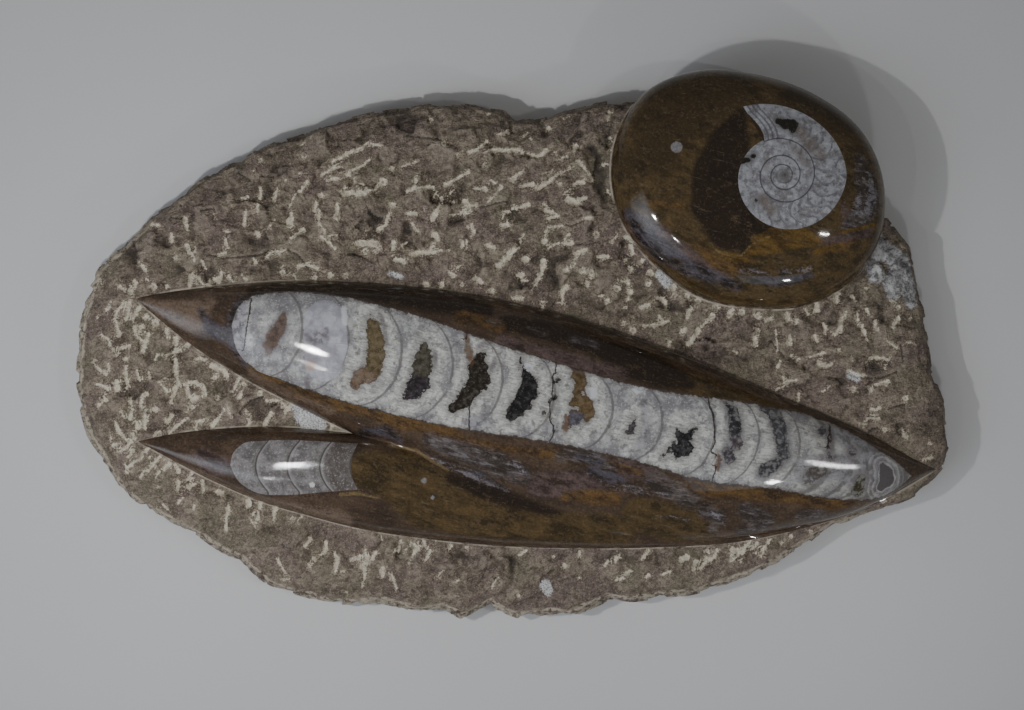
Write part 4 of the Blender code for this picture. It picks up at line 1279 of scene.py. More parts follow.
# %% Strokes for the stains, painted reflections and painted shade of the button
BUTTON_STAINS_AND_PAINTED_LIGHT = {
    "olive": [[(104.5, 69, 99)]],
    "shade": [
        [(60, 100, 6), (72, 104, 14), (98, 112, 8)],
        [(52, 80, 6), (62, 84, 10)],
        [(120, 108, 6), (146, 96, 8)],
    ],
    "dark": [
        [(98.2, 99.4, 3), (94, 87.5, 8.6), (89.4, 74.6, 11.4), (89, 61.7, 11.8), (93.4, 50.8, 9.8),
         (100.2, 46, 5)],
        [(98.8, 84.1, 3.4), (98.6, 71.1, 3.9), (98.2, 60.4, 3.9), (103.1, 50.8, 3.4),
         (110, 49.5, 2)],
    ],
    "gold": [
        [(85.2, 44.1, 0.4), (90.8, 39.4, 0.4), (98.6, 38.5, 0.4), (102, 42.3, 0.4),
         (105.8, 44.9, 0.4), (113.5, 48.3, 0.4)],
    ],
    "rust": [
        [(81.4, 43.3, 2.2), (87.9, 36, 2.2), (98.7, 33.4, 2.6)],
        [(131, 40.3, 1.3), (142.1, 42.5, 1.3), (150.1, 46, 0.9)],
        [(46.4, 58.3, 2.2), (52.1, 46.4, 2.2), (60.9, 36.3, 2.6)],
        [(59.9, 61.5, 1.3), (72.7, 60.1, 1.3)],
    ],
    "purple": [
        [(134.1, 44.8, 2), (144.2, 46.5, 2.6), (154.7, 49.2, 2.2)],
        [(143.1, 60.5, 1.8), (145.4, 53.3, 2.4)],
        # Painted reflection: this stroke paints a purple-grey sheen along the button's southwest rim.
        [(50.7, 57.6, 2.2), (60.1, 49.1, 5.2), (72.9, 40.4, 5.2), (82.4, 33.4, 3.5),
         (96.8, 25.7, 2.6)],
    ],
    "haze": [
        [(151, 81, 2.8), (153, 72.4, 5.2), (155.3, 64, 6.2), (152.2, 56.5, 5.6), (145.2, 50.5, 3.4)],
    ],
    # Painted reflection: pale sheen streaks on the button's east side and along its south rim.
    "sheen_streaks": [
        [(154.8, 75, 0.8), (156.4, 65, 2.2), (153.6, 57, 1.7)],
        [(151, 67, 0.9), (148.5, 58, 1.2)],
        [(99.5, 32.5, 0.5), (113.5, 31.4, 0.9), (129, 33, 0.6)],
    ],
    "ochre": [
        [(101.5, 39.6, 1.6), (107, 42.8, 3.4), (117, 45, 4), (126, 46.6, 3.6), (131.8, 45, 1.6)],
        [(104.5, 46, 1), (113, 49.8, 1.4), (124, 50.8, 1.4)],
        [(131.5, 40.8, 0.8), (137, 42.2, 1.3), (142.5, 43.4, 0.8)],
        [(143, 49, 0.7), (150, 50.6, 1), (157.5, 53, 0.7)],
        [(88.5, 41.5, 0.9), (96, 37.5, 1.7), (103.5, 36.6, 1)],
    ],
    # Painted reflection: the bluish sheen band along the button's southwest and south rim.
    "blue": [
        [(50.5, 57.5, 2.4), (56.5, 49.5, 3.8), (64.4, 41.3, 4.2), (76, 34, 3.8), (88.2, 28.8, 2.8),
         (98.5, 25.6, 1.6)],
        [(104, 28.5, 1.5), (116, 27.4, 2.2), (129, 30, 1.4)],
    ],
    "spot": [[(71, 85.7, 2.5)]],
}
print("the button has", {name: len(strokes) for name, strokes in BUTTON_STAINS_AND_PAINTED_LIGHT.items()})

# %% [markdown]
# One finish serves both forms. Wavy brown bands run through it, each stain has a feathered edge
# of its own, and the haze is a grey net of fine pale and dark streaks. The sheen streaks and the
# bluish coat are painted reflections, the shade coat is painted shade, and the dark coat is
# painted shade on the ridges and the living chamber's mud on the button. The polish is glassy all
# over.

# %% Patterns and colors in the polished limestone
polish = Finish("polished limestone", roughness=0.055)
cloud = polish.noise(12, detail=5, rough=0.62, stretch=(2, 1, 1), turn=math.radians(-14))
fine = polish.noise(1.1, detail=4, rough=0.72, seed=3)
wisps = polish.noise(4.5, detail=6, rough=0.72, stretch=(2.4, 1, 1), turn=math.radians(-20), seed=8)
swirl = polish.noise(8, detail=6, rough=0.66, stretch=(1.6, 1, 1), turn=math.radians(-30), seed=14)
streaks = polish.noise(1.6, detail=5, rough=0.7, stretch=(6, 1, 1), turn=math.radians(-13), seed=19)
feather = cloud.sway(8) + wisps.sway(7) + fine.sway(2)
olive = polish.mix(wisps.step(0.36, 0.64), (68, 56, 37), (106, 87, 57))
tan = polish.mix(wisps.step(0.3, 0.7), (112, 95, 80), (140, 120, 104))
purple = polish.mix(wisps.step(0.4, 0.6), (66, 54, 52), (114, 96, 92))
rust = polish.mix(wisps.step(0.4, 0.6), (74, 56, 37), (124, 95, 56))
lace = polish.layers(
    (64, 58, 56),
    (swirl.step(0.42, 0.6), (102, 95, 95)),
    (streaks.step(0.51, 0.62) * 0.7, (150, 145, 148)),
    (streaks.step(0.47, 0.38) * 0.7, (56, 47, 42)),
)
# Painted reflection: pale sheen streaks, and dark edges beside them.
sheen_streaks = polish.number("sheen_streaks") + streaks.sway(9) + fine.sway(5) + swirl.sway(5)
# Painted reflection: dark bands along the edges of the sheen streaks.
sheen_dark_edges = polish.number("sheen_streaks") + wisps.sway(14) + fine.sway(4)
# Painted reflection: a dark bluish sheen with paler streaks.
blue = polish.layers(
    (42, 38, 40),
    (wisps.step(0.44, 0.58), (92, 89, 98)),
    (streaks.step(0.56, 0.66) * 0.5, (124, 122, 132)),
)
ochre = polish.mix(wisps.step(0.4, 0.6), (88, 67, 34), (128, 100, 50))
veins = (swirl - 0.5).line(0.03) * cloud.step(0.5, 0.58)
threads = (wisps - 0.47).line(0.03) * swirl.step(0.5, 0.6)
print("the polish mixes", len(polish.tree.nodes), "nodes before its coats")

# %% The polish, coat over coat
color = polish.layers(
    (72, 59, 49),
    (cloud.step(0.36, 0.64), (100, 82, 67)),
    ((polish.number("olive") + feather * 0.6).step(-1.5, 2.0), olive),
    ((polish.number("tan") + feather * 0.5).step(-1.5, 2.0) * 0.85, tan),
    # painted shade on the ridges' north flanks and valley; on the button this coat is the living chamber's
    # dark mud
    ((polish.number("dark") + feather * 0.2).step(-1.5, 1.5) * 0.9, (48, 38, 31)),
    # purple stains; on the button's southwest rim this coat is painted reflection
    ((polish.number("purple") + feather * 0.5).step(-1.0, 1.5) * 0.9, purple),
    ((polish.number("rust") + feather * 0.45).step(-0.9, 1.2) * 0.8, rust),
    ((polish.number("haze") + feather * 0.6).step(-1.2, 2.4) * 0.8, lace),
    ((polish.number("shade") + feather).step(-4, 5) * 0.7, (62, 51, 34)),
    # painted reflection: the pale sheen streaks
    (sheen_streaks.step(-0.4, 1.4) * 0.65, (154, 150, 158)),
    # painted reflection: dark bands beside the sheen streaks
    (sheen_dark_edges.line(0.8) * swirl.step(0.44, 0.54) * 0.6, (44, 38, 40)),
    ((polish.number("ochre") + feather * 0.15 + swirl.sway(5)).step(-0.5, 0.2) * 0.85, ochre),
    # painted reflection: bluish sheen
    ((polish.number("blue") + feather * 0.25).step(-0.8, 1.0) * 0.8, blue),
    (veins * 0.4, (36, 30, 28)),
    (streaks.step(0.44, 0.34) * swirl.step(0.46, 0.54) * 0.55, (40, 33, 29)),
    (streaks.step(0.58, 0.68) * swirl.step(0.54, 0.44) * 0.4, (136, 120, 104)),
    (threads * 0.35, (132, 112, 86)),
    ((polish.number("gold") + fine.sway(0.5)).step(-0.35, 0.15) * 0.7, (142, 122, 84)),
    ((polish.number("spot") + fine.sway(0.6)).step(-0.3, 0.3) * 0.8, (158, 156, 158)),
    (fine.step(0.58, 0.4) * 0.3, (32, 26, 21)),
    (fine.step(0.57, 0.7) * 0.4, (132, 117, 98)),
)
polish.close(color, polish.noise(9, detail=2), 0.03)

for solid, stains in ((ridge_solid, RIDGE_STAINS_AND_PAINTED_LIGHT), (button_solid, BUTTON_STAINS_AND_PAINTED_LIGHT)):
    x, y, _ = corners(solid).T
    add_depths(solid, x, y, {name: stains.get(name, ()) for name in {**RIDGE_STAINS_AND_PAINTED_LIGHT, **BUTTON_STAINS_AND_PAINTED_LIGHT}})
    declare(solid, polish, "limestone", "matrix")

# %% [markdown]
# ## The large shell
#
# An orthoceras is a straight cone divided by curved walls, the septa. After the animal died,
# white fibrous calcite grew inward from the walls of every chamber, and what stayed open filled
# with mud or dark crystals. The chambers are numbered from the blunt west end: a whole number
# is a septum, and one number along the mesh draws them all, bowed as the real ones are.

# %% Chamber numbers along the large shell
SEPTA = [
    -122.4, -91.2, -71.3, -48.3, -26.2, -4.6, 18, 43.1, 64.4, 87.3, 106.4, 124.2, 146.7, 158.4, 174.9,
]
SHELL_LEAN = math.radians(-12.7)
SEPTUM_BOW, LEAST_HALF = 0.85, 6
shell_north = smooth_line(LARGE_SHELL_NORTH)
shell_south = smooth_line(LARGE_SHELL_SOUTH)
chamber_number = smooth_line([(x, i) for i, x in enumerate(SEPTA)])

large = shells["large_orthoceras_shell"]
x, y, _ = corners(large).T
middle = (shell_north(x) + shell_south(x)) / 2
half = np.maximum((shell_north(x) - shell_south(x)) / 2 * math.cos(SHELL_LEAN), LEAST_HALF)
offset = (y - middle) * math.cos(SHELL_LEAN)
foot = x + (y - middle) * math.sin(SHELL_LEAN) * math.cos(SHELL_LEAN)
lean = np.clip(offset / half, -1, 1) * 0.95
growth = foot + SEPTUM_BOW * half * (1 - np.sqrt(1 - lean**2))
chamber = chamber_number(growth)
for name, values in {
    "chamber": chamber,
    "growth": growth,
    "offset": offset,
    "border": np.minimum(shell_north(x) - y, y - shell_south(x)) * math.cos(SHELL_LEAN),
}.items():
    add_number(large, name, values)
print("chambers", round(float(chamber.min()), 1), "to", round(float(chamber.max()), 1))

# %% [markdown]
# Each filling is a stroke with its own color. The mesh carries the depth inside the nearest one
# and that color, so that a single mask draws all the fillings with ragged, crystalline edges.

# %% The chamber fillings
FILLINGS = [
    ((116, 103, 76), [(-61.2, 11.8, 1.1), (-59.9, 8.3, 3), (-59, 2.3, 3.7), (-59, -4.6, 3.7),
                      (-60.3, -9.8, 3.9)]),
    ((128, 110, 92), [(-60.7, -12.4, 3.5), (-64.6, -12.9, 3.5), (-67.7, -16.3, 2.2),
                      (-67.3, -18.5, 0.9)]),
    ((84, 80, 68), [(-38.2, -1.2, 2.4), (-38.2, -5.5, 3.5), (-39.1, -10.7, 4.3)]),
    ((64, 58, 62), [(-40, -15.4, 4.8), (-42.6, -19.8, 3.5), (-46.1, -22.4, 1.3)]),
    ((54, 49, 41), [(-13.6, -4.2, 1.9), (-14.5, -9.8, 4.3), (-14.9, -15.9, 4.7), (-17.9, -20.2, 3.7),
                    (-21.4, -24.1, 3.2), (-25.7, -27.1, 1.9)]),
    ((44, 42, 42), [(3.2, -5.1, 0.6), (4.5, -9.8, 1.3), (7.1, -15, 3.2), (7.1, -19.8, 4.1),
                    (4.1, -24.9, 4.1), (-0.2, -29.7, 2.6)]),
    ((112, 94, 66), [(27.9, -7.2, 2.6), (28.7, -12.4, 3.2), (29.6, -17.2, 2.2), (28.3, -21.5, 2.4),
                     (27, -24.9, 2.4)]),
    ((118, 99, 70), [(28.7, -24.5, 2.2), (31.3, -24.9, 3.2), (33, -28.4, 2.6), (32.6, -31.8, 1.3)]),
    ((104, 101, 110), [(26.1, -28.4, 1.5), (28.3, -30.6, 2.2), (25.3, -33.6, 1.7)]),
    ((88, 84, 86), [(52.9, -32.7, 1.1), (51.2, -36.6, 1.7)]),
    ((52, 52, 54), [(71.5, -37, 1.1), (74.1, -40.1, 3), (74.5, -44, 3.7), (71.1, -46.5, 1.9)]),
    ((50, 50, 52), [(78.4, -36.6, 1.1), (75.4, -39.6, 2.2)]),
    ((56, 56, 58), [(70.2, -43.5, 1.1), (66.3, -46.5, 0.7), (64.6, -47.8, 0.3)]),
    ((70, 70, 72), [(93, -25, 1.1), (95.9, -28.9, 2.4), (96.7, -33.2, 2.4), (96.6, -37.5, 2.6)]),
    ((112, 103, 106), [(96.2, -39.2, 2.6), (97.5, -42.3, 2.6)]),
    ((98, 94, 98), [(93.1, -45.7, 2.2), (94.5, -48.3, 2.8), (93.6, -50, 1.7)]),
    ((92, 92, 94), [(109.3, -26.8, 1.7), (113.6, -29.4, 3), (115.9, -35.4, 3.5), (116.2, -41, 2.6),
                    (117.9, -46.6, 2.6)]),
    ((84, 82, 84), [(114.4, -50.5, 2.2), (109.7, -54, 3.2)]),
    ((96, 94, 96), [(134.5, -37.2, 2.2)]),
    ((112, 106, 100), [(128.5, -57.5, 2.6), (133.7, -54, 3)]),
    ((84, 72, 74), [(138.3, -35.6, 0.7), (138.2, -41.1, 1.1), (137.2, -45.4, 0.9), (138.5, -49.7, 0.9)]),
    ((90, 88, 70), [(152.3, -57.6, 1.7), (150.3, -62.9, 2.6)]),
    ((104, 100, 98), [(148.2, -46.3, 1.7)]),
    ((40, 36, 34), [(19.2, -15.9, 0.9)]),
    ((40, 36, 34), [(18.6, -22.3, 0.5)]),
    ((40, 36, 34), [(16, -24.1, 0.5)]),
    ((96, 92, 88), [(14, -28.8, 1)]),
    ((60, 54, 50), [(16.2, -32.3, 0.6)]),
]


def add_fillings(piece, x, y, fillings):
    """Store the depth inside the nearest filling, and that filling's color."""
    depths = np.array([within(x, y, stroke) for _, stroke in fillings])
    tones = np.array([(*tone(*chart), 1) for chart, _ in fillings])
    add_number(piece, "filling", depths.max(0))
    layer = piece.data.attributes.new("filling_color", "FLOAT_COLOR", "POINT")
    layer.data.foreach_set("color", tones[depths.argmax(0)].astype(np.float32).ravel())


add_fillings(large, x, y, FILLINGS)
print(len(FILLINGS), "fillings in", len(SEPTA) - 1, "chambers")

# %% Clouds and stains in the calcite, and its cracks
LARGE_STAINS = {
    "rust": [
        [(-19.7, 7.9, 0.5), (-19.7, 3.1, 0.7), (-18.8, -2.1, 1.5), (-17.5, -7.2, 0.9)],
        [(23.3, -31, 1.1), (23.3, -37, 1.1)],
        [(88.2, -46.6, 0.7), (89.2, -49, 1.1), (88.9, -53, 0.8)],
    ],
    "core": [[(-98.6, 14, 1.2), (-100.2, 9, 3.1), (-103.2, 3.6, 3.2), (-105.6, -1.8, 2.4)]],
    "blush": [[(-87.2, -8.5, 1.5)]],
    "mauve": [
        [(-88.9, 4.9, 0.9), (-87.6, 2.3, 1.3), (-85.4, 1, 0.9)],
        [(-80.2, 7.5, 0.5), (-79.7, 5.3, 0.6)],
        [(-82.3, 4.9, 0.4), (-79.3, 3.1, 0.6)],
        [(-89.1, -14.2, 0.9), (-88.4, -18.6, 0.9)],
        [(-57.5, 14, 0.8), (-55, 8, 0.8), (-54.5, 0, 0.6)],
        [(-64.5, -9, 1), (-68, -14, 0.8)],
        [(-33, -3, 1), (-33.5, -9, 1)],
        [(-7.5, -6, 1), (-9, -11, 0.8)],
        [(-10, 1.5, 1.2), (-14, 0, 1)],
    ],
    "gray": [
        [(-85.3, 4, 3), (-81.9, 3.1, 3)],
        [(26.6, -31.9, 2.2), (31.7, -32.7, 1.7)],
        [(15.3, -35.7, 2.5), (19.7, -35.7, 2.2)],
        [(57.2, -24.5, 2), (58.1, -34.4, 2), (54.2, -44, 1.8)],
        [(-17.9, -31.4, 2.6), (-14.5, -34.5, 2.2)],
        [(-118.5, 15.3, 3.5), (-119.5, 6.6, 3.5), (-117.4, 0.1, 2.2)],
        [(90, -52, 2), (97, -38, 4), (94, -27, 3)],
        [(108, -56, 3), (118, -48, 3.5), (117, -36, 4)],
        [(128, -54, 6), (140, -52, 6), (150, -54, 7), (157, -55, 6)],
        [(138, -37, 3), (150, -42, 4), (160, -50, 3)],
    ],
    "slate": [[(161.4, -52.2, 1.2), (163.4, -55.8, 3.0), (163.6, -58.4, 3.2), (161.2, -61.8, 1.6)]],
    "disc": [[(-81, 11, 8.8), (-80.5, 0.1, 9.6), (-81.5, -7.2, 8.4)]],
    "white": [
        [(6.5, -9.5, 2.6)],
        [(34.5, -20.5, 2.8)],
        [(54.5, -18.5, 2.4)],
        [(-64.2, 5.3, 1.1)],
        [(-60.4, 14, 0.7)],
        [(-10.5, 3.8, 1.4)],
        [(-35.2, -4.2, 0.7)],
        [(-72.8, 16, 1.2), (-72.2, 10, 1.3)],
    ],
}
CRACKS = [
    [(-19.2, 8.3), (-19.8, 2)],
    [(-18.4, -25.4), (-18.4, -37.1)],
    [(18.8, -6.4), (19.2, -11.1), (17.5, -12.4), (17.9, -15.9), (17.1, -19.3), (17.5, -22.3),
     (16.2, -24.9), (16.6, -28.8), (16.2, -32.3), (17.9, -34.4), (17.9, -38.3), (16.2, -41.4)],
    [(84.8, -21.1), (85.1, -25), (86.7, -29.3), (87.5, -34.5), (87.5, -38.8), (87.9, -41.8),
     (86.2, -44.4), (86.2, -46.1), (88.4, -47.4)],
    [(88.8, -51.8), (87.6, -54.8), (86.3, -60)],
    [(-113.1, 20.5), (-114.5, 10.9), (-116.6, -2)],
    [(138.9, -34.7), (137.3, -41.1), (136.8, -44.1)],
]

add_depths(large, x, y, LARGE_STAINS)
add_number(large, "crack", from_cracks(x, y, *CRACKS))
print(len(LARGE_STAINS), "kinds of stain and", len(CRACKS), "cracks")

# %% Patterns in the large shell's calcite
calcite = Finish("large shell calcite", roughness=0.05)
growth, offset, chamber = (calcite.number(n) for n in ("growth", "offset", "chamber"))
grown = calcite.node("ShaderNodeCombineXYZ", None, {"X": growth, "Y": offset})
fibres = calcite.noise(0.7, detail=4, rough=0.7, stretch=(6, 1, 1), place=grown)
grain = calcite.noise(1.0, detail=4, rough=0.75, seed=2)
lump = calcite.noise(2.6, detail=3, rough=0.6, seed=12)
bloom = calcite.noise(7, detail=4, rough=0.6, seed=6)
lobes = calcite.cells(3.4, seed=4)
ragged = grain.sway(3) + lump.sway(5) + (lobes - 0.45) * 0.8
filling = calcite.number("filling") + ragged + bloom.sway(3)
lining = (filling + (lobes - 0.45) * 4).step(-8.0, -3.0)
ivory = calcite.mix(fibres.step(0.36, 0.62), (168, 167, 161), (232, 231, 223))
bright_coat = (filling + (lobes - 0.45) * 4 + 4).line(2.6) * bloom.step(0.42, 0.56)
buds = calcite.cells(7, "DISTANCE_TO_EDGE", seed=9, place=grown) + lump.sway(0.4)
ring_at = filling + (lobes - 0.45) * 3
near_septum = chamber.nearest_whole() * 20 + bloom.sway(1.6) + lump.sway(0.8)
septum_line = near_septum.line(0.75) * bloom.step(0.26, 0.44) * chamber.step(13.4, 11)
rings = (chamber * 1.7 + lump.sway(0.5)).math("FRACT") * chamber.step(11.0, 11.8)
mauve = calcite.number("mauve") + grain.sway(1.5) + lump.sway(1.8)
core = calcite.number("core") + grain.sway(3) + lump.sway(5)
blush = calcite.number("blush") + grain.sway(1.2)
hairs = calcite.cells(9, "DISTANCE_TO_EDGE", seed=3) + lump.sway(0.12)
slate = calcite.number("slate") + grain.sway(0.8) + lump.sway(1.4)
coats = (slate * 0.45 + bloom.sway(1.5)).math("FRACT") - 0.5
rust = calcite.number("rust") + grain.sway(3) + lump.sway(4)
crack = calcite.number("crack") + grain.sway(1.2) + lump.sway(1.6)
border = calcite.number("border") + grain.sway(1.6) + lump.sway(2) + (0.45 - lobes) * 0.5
print("the calcite draws on", len(calcite.tree.nodes), "nodes")

# %% Colors inside the stains and the fillings
disc = calcite.layers(
    (172, 171, 180),
    (bloom.step(0.4, 0.6), (202, 202, 211)),
    (lump.step(0.56, 0.68) * 0.4, (146, 138, 150)),
)
gray = calcite.layers(
    (102, 99, 104),
    (lump.step(0.38, 0.6), (172, 170, 176)),
    (grain.step(0.56, 0.68) * 0.6, (216, 216, 218)),
)
late = chamber.step(8.9, 9.1)
shade = calcite.number("filling_color", out="Color")
inside = calcite.layers(
    calcite.vector("MULTIPLY", shade, (0.5, 0.48, 0.48)),
    (lump.step(0.34, 0.58), shade),
    (filling.step(1.6, 0.3) * 0.6, calcite.vector("MULTIPLY", shade, (0.45, 0.4, 0.42))),
    (lump.step(0.54, 0.64) * 0.2, (132, 127, 125)),
    (lump.step(0.49, 0.6) * late * 0.5, (150, 147, 146)),
    (lobes.step(0.3, 0.1) * late * 0.4, (48, 46, 50)),
    (grain.step(0.57, 0.68) * 0.35, (166, 161, 154)),
)
mud = calcite.mix(lump.step(0.35, 0.6), (80, 61, 51), (112, 94, 82))
dusk = calcite.mix(grain, (84, 78, 80), (112, 106, 108))
print("late crystals from chamber 9 on")

# %% The calcite itself, the chamber walls and the growth rings
color = calcite.layers(
    (146, 144, 148),
    (bloom.step(0.38, 0.62), (210, 210, 206)),
    (lobes.step(0.4, 0.75) * 0.4, (128, 127, 130)),
    (lining * 0.75, ivory),
    (bloom.step(0.48, 0.36) * 0.4, (146, 144, 143)),
    (bright_coat * 0.4, (236, 236, 229)),
    (buds.line(0.09) * bloom.step(0.46, 0.58) * 0.35, (118, 115, 114)),
    ((ring_at + 5.5).line(0.7) * 0.3, (134, 132, 128)),
    (lump.step(0.46, 0.34) * 0.55, (118, 115, 116)),
    (grain.step(0.46, 0.34) * 0.4, (108, 106, 104)),
    (grain.step(0.55, 0.67) * 0.6, (243, 243, 241)),
    (near_septum.line(3.0) * lump.step(0.4, 0.6) * 0.3, (140, 138, 140)),
    (septum_line * 0.7, (106, 101, 99)),
    ((rings - 0.5).line(0.22) * 0.7, (90, 86, 84)),
    ((rings - 0.8).line(0.14) * 0.5, (214, 212, 208)),
)
print(len(calcite.tree.nodes), "nodes so far")

# %% Clouds, fillings, cracks and the dark border over it
color = calcite.layers(
    color,
    ((calcite.number("disc") + ragged * 0.1).step(-0.3, 0.4) * 0.8, disc),
    ((calcite.number("gray") + ragged * 0.8).step(-1.4, 1.8) * 0.8, gray),
    (chamber.step(9.0, 12.5) * 0.45, (118, 114, 110)),
    (mauve.step(-0.9, 0.5) * 0.6, (98, 86, 92)),
    (core.step(-2.0, 0.2) * 0.6, (132, 124, 126)),
    (core.step(-0.5, 0.9) * 0.9, mud),
    (blush.step(-2.2, 1.2) * 0.85, (190, 160, 132)),
    ((calcite.number("white") + ragged * 0.3).step(-0.5, 0.6) * 0.9, (222, 223, 226)),
    (hairs.line(0.02) * bloom.step(0.48, 0.56) * 0.3, (100, 96, 94)),
    ((filling + lump.sway(4)).step(-2.6, -0.1) * 0.42, (114, 108, 103)),
    (filling.step(-0.2, 0.3), inside),
    (coats.line(0.3) * slate.step(-7, -4.5) * 0.4, (104, 98, 100)),
    ((coats - 0.35).line(0.3) * slate.step(-6, -3.5) * 0.35, (196, 192, 190)),
    (slate.step(-0.4, 0.1), dusk),
    (rust.step(-0.9, 0.4) * 0.8, (98, 70, 44)),
    (crack.line(0.5) * 0.9, (52, 44, 42)),
    (border.step(2.4, 0.6) * 0.4, (112, 104, 98)),
    (border.step(0.8, 0.2) * 0.85, (60, 50, 43)),
)
calcite.close(color, fibres * 0.6 + grain * 0.4, 0.02)
declare(large, calcite, "large_shell_calcite", "large_orthoceras")

# %% [markdown]
# ## The small shell
#
# Only four chambers of the small shell are left. Its calcite is grey and cloudy, and its septa
# bow the other way, towards the blunt end.

# %% Chamber numbers along the small shell
SMALL_SEPTA = [-126, -111.6, -97.8, -83.5, -70.2, -56]
SMALL_AXIS, SMALL_HALF, SMALL_BOW = -52.5, 11, 5.2
small = shells["small_orthoceras_shell"]
x, y, _ = corners(small).T
lean = np.clip((y - SMALL_AXIS) / SMALL_HALF, -1, 1)
small_number = smooth_line([(s, i) for i, s in enumerate(SMALL_SEPTA)])
add_number(small, "chamber", small_number(x - SMALL_BOW * lean**2))
add_number(small, "white", within(x, y, [(-86.9, -60.5, 1.3)]))
print("the small shell has", len(SMALL_SEPTA) - 2, "septa")

# %% The small shell's finish
cloudy = Finish("small shell calcite", roughness=0.05)
grain = cloudy.noise(1.0, detail=4, rough=0.75)
lump = cloudy.noise(2.6, detail=4, rough=0.65, seed=5)
bloom = cloudy.noise(6, detail=4, rough=0.6, seed=3)
chamber = cloudy.number("chamber")
share = chamber.math("FRACT")
late = chamber.step(2.9, 3.05) * lump.step(0.62, 0.42) * share.step(1.0, 0.8) * share.step(0.05, 0.25)
septum = chamber.nearest_whole() * 14 + bloom.sway(0.8)
white = (cloudy.number("white") + (grain - 0.5)).step(-0.3, 0.3)
color = cloudy.layers(
    (107, 103, 102),
    (bloom.step(0.35, 0.62), (149, 145, 144)),
    (lump.step(0.48, 0.34) * share.step(0.1, 0.4) * 0.55, (104, 96, 92)),
    (late * 0.85, (92, 82, 78)),
    (chamber.step(2.95, 3.05) * 0.6, (100, 93, 88)),
    (grain.step(0.54, 0.66) * 0.55, (198, 197, 198)),
    (grain.step(0.46, 0.34) * 0.55, (88, 81, 77)),
    (share.step(0.14, 0.03) * 0.5, (206, 205, 208)),
    (septum.line(2.0) * 0.3, (110, 104, 98)),
    (septum.line(0.6) * 0.75, (72, 64, 58)),
    (white, (226, 224, 222)),
)
cloudy.close(color, grain, 0.03)
declare(small, cloudy, "small_shell_calcite", "small_orthoceras")

# %% [markdown]
# ## The goniatite
#
# A coil that grows by the same share in every turn looks the same at every scale. In polar
# coordinates its whorls are the whole numbers of a logarithm, so one formula draws the spiral
# wall, and the whorl's number plus the turn within it counts the septa along the coil.

# %% The goniatite's fillings and stains
COIL_MIDDLE = (116.8, 73.5)
COIL_REACH, COIL_RATE = 16.6, 0.89
SEPTA_PER_TURN = 21
coil = shells["goniatite_shell"]
x, y, _ = corners(coil).T
add_fillings(
    coil, x, y,
    [
        ((42, 38, 32), [(114.6, 97, 1.2), (118, 95.6, 2.2), (121.4, 95.6, 2.0), (120.9, 93, 1.4)]),
        ((40, 36, 32), [(98.4, 79.5, 1.2), (101.5, 80, 1.2), (104.7, 82.2, 0.8)]),
        ((64, 58, 54), [(103.9, 60.9, 0.5), (105.9, 63.8, 0.4)]),
        ((86, 84, 80), [(117.2, 73.4, 0.7)]),
    ],
)
COIL_STAINS = [
    [(120.5, 86.2, 1), (123.3, 83.6, 1.4), (126.2, 78.5, 1.3)],
    [(109.3, 76.9, 1.1)],
    [(124, 93, 2.5), (128, 88, 3), (133, 82, 2.5)],
    [(108, 63, 2.5), (112, 58, 2)],
]
add_number(coil, "rust", within(x, y, *COIL_STAINS))
print("the coil has", len(COIL_STAINS), "stains")

# %% The coil in polar coordinates: whorls, septa and ribs
coiled = Finish("coiled shell calcite", roughness=0.07)
grain = coiled.noise(0.9, detail=4, rough=0.75)
lump = coiled.noise(2.2, detail=3, rough=0.6, seed=9)
bloom = coiled.noise(5, detail=4, rough=0.6, seed=3)
right, up = coiled.x - COIL_MIDDLE[0], coiled.y - COIL_MIDDLE[1]
radius = (right * right + up * up).math("SQRT") + lump.sway(0.5) + 0.02
turned = ((SPIRAL_MOUTH - up.math("ARCTAN2", right)) / math.tau).math("FRACT")
whorl = 1 - (radius / COIL_REACH).math("LOGARITHM", 2.0) / COIL_RATE - turned
whorl = whorl.math("MAXIMUM", 0.001)
wall = whorl.nearest_whole() * radius * (COIL_RATE * math.log(2))
age = whorl.math("FLOOR") + turned
across = whorl.math("FRACT")
count = age * SEPTA_PER_TURN - across * (1 - across) * 2.8 + lump.sway(0.6)
septum = count.nearest_whole() * radius * (math.tau / SEPTA_PER_TURN)
mouth = age * radius * math.tau - across * (1 - across) * 6.4
print("the coil is wound from", SEPTA_PER_TURN, "septa to a turn")

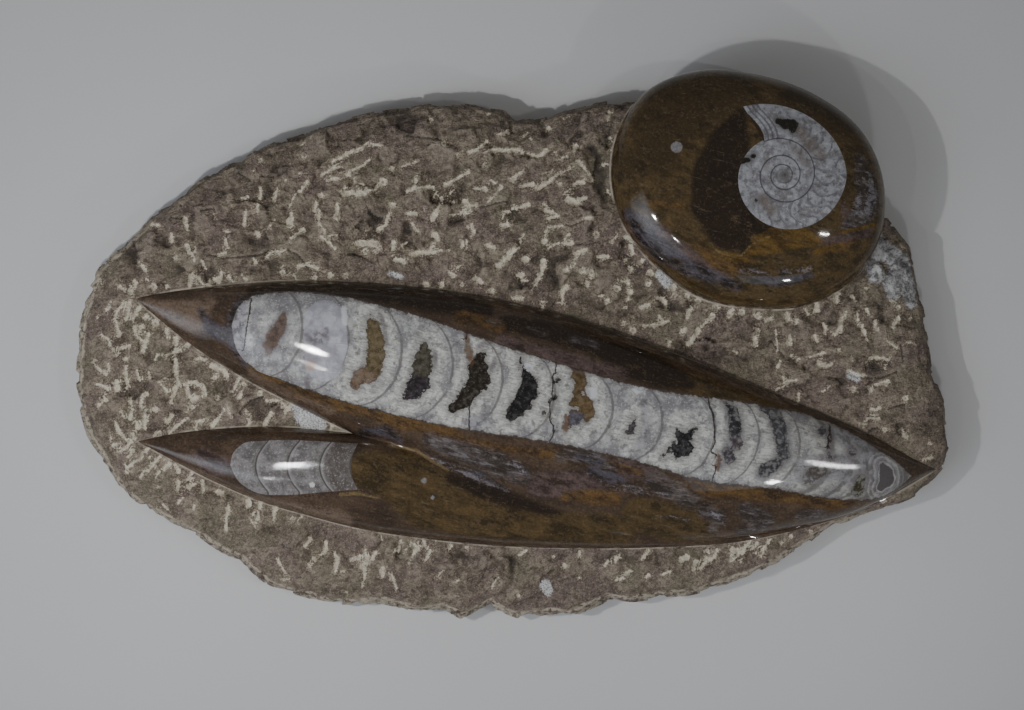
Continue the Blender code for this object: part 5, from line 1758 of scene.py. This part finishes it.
# %% The goniatite's coats
stained = (coiled.number("rust") + grain.sway(3) + lump.sway(3)).step(-1.2, 1.0)
shown = whorl.step(1.02, 0.98) * turned.step(0.1, 0.22) * turned.step(0.78, 0.62) * bloom.step(0.36, 0.56)
ribs = (mouth * 0.5).nearest_whole().line(0.3) * mouth.step(7.4, 6.4) * mouth.step(0.8, 1.4)
core = radius.step(4.2, 3.0)
depth = coiled.number("filling") + grain.sway(2) + lump.sway(2)
shade = coiled.number("filling_color", out="Color")
shade = coiled.mix(grain.step(0.56, 0.68) * 0.6, shade, (112, 104, 86))
color = coiled.layers(
    (137, 135, 138),
    (bloom.step(0.38, 0.6), (171, 172, 177)),
    (lump.step(0.48, 0.34) * 0.6, (94, 90, 90)),
    (lump.step(0.54, 0.66) * 0.65, (196, 197, 199)),
    (grain.step(0.54, 0.68) * 0.5, (204, 204, 206)),
    (grain.step(0.44, 0.3) * 0.5, (98, 96, 98)),
    (stained * 0.5, (118, 102, 88)),
    (septum.line(0.9) * shown * 0.6, (92, 90, 94)),
    (ribs * whorl.step(1.02, 0.98) * 0.6, (84, 80, 86)),
    (core * 0.45, (112, 110, 106)),
    (wall.line(0.42) * whorl.step(0.5, 0.6) * (0.78 - core * 0.55), (68, 64, 72)),
    (depth.step(-2.2, -0.2) * 0.45, (92, 88, 84)),
    (depth.step(-0.3, 0.2), shade),
    ((mouth + grain.sway(0.6)).step(0.3, 0.0) * whorl.step(1.02, 0.98), (64, 50, 34)),
)
coiled.close(color, grain, 0.03)
declare(coil, coiled, "coiled_shell_calcite", "goniatite")

# %% [markdown]
# ## Floor and light
#
# Four compact lamps around the camera show the stone without hard shadows, and each one mirrors
# in the polish as a small bright spot. Two dim bluish panels, low in the southwest and over the
# button in the south, add a sheen to the flanks that face them. Each panel is a stack of ever
# smaller ones, so that its mirror image fades towards its borders. The floor is pale and matt.

# %% The floor and the lamps
FLOOR_HALF = 3
AIM_HEIGHT = 0.04
ROOM_LIGHT = 0.15

floor = bmesh.new()
bmesh.ops.create_grid(floor, x_segments=1, y_segments=1, size=FLOOR_HALF)
floor = to_object(floor, "floor")
paper = Finish("pale floor", roughness=0.9)
paper.close(paper.mix(paper.noise(60, detail=2), (228, 228, 228), (232, 232, 232)))
floor.data.materials.append(paper.material)


def lamp(name, turn, lean, radiance, size, color=(1, 1, 1), far=1.3, over=(0, 0)):
    """An even lamp at this turn and lean, this far from a place on the plate, facing it."""
    light = bpy.data.lights.new(name, "AREA")
    light.shape, light.size, light.size_y = "RECTANGLE", *size
    light.energy, light.color = radiance * math.pi * size[0] * size[1], color
    turn, lean = math.radians(turn), math.radians(lean)
    aim = Vector((math.cos(turn) * math.sin(lean), math.sin(turn) * math.sin(lean), math.cos(lean)))
    holder = bpy.data.objects.new(name, light)
    holder.location = Vector((*over, AIM_HEIGHT)) + aim * far
    holder.rotation_euler = aim.to_track_quat("Z", "Y").to_euler()
    bpy.context.collection.objects.link(holder)


lamp("key lamp", 214.7, 18, 1100, (0.018, 0.007), far=0.347, over=(-0.087, 0))
lamp("southwest lamp", 226, 33, 900, (0.012, 0.011))
lamp("south lamp", 287, 43, 330, (0.014, 0.004), far=0.26, over=(0.118, 0.028))
lamp("east strip", 346, 30.5, 560, (0.0042, 0.1))
cool = (0.8, 0.87, 1)
for share in (1, 0.82, 0.64, 0.46, 0.28):
    turn, lean, size = 206 + 3 * share, 46 + 7 * share, (0.8 * share, 0.9 * share)
    lamp(f"southwest panel at {share}", turn, lean, 0.62, size, cool)
    size = (0.12 * share, 0.05 * share)
    lamp(f"south panel at {share}", 281.6, 41.6, 0.8, size, cool, 0.255, (0.118, 0.028))
world = bpy.data.worlds.new("dim room")
world.use_nodes = True
background = world.node_tree.nodes["Background"]
background.inputs["Color"].default_value = (1, 1, 1, 1)
background.inputs["Strength"].default_value = ROOM_LIGHT
bpy.context.scene.world = world
print("four lamps, two soft panels and a dim room")
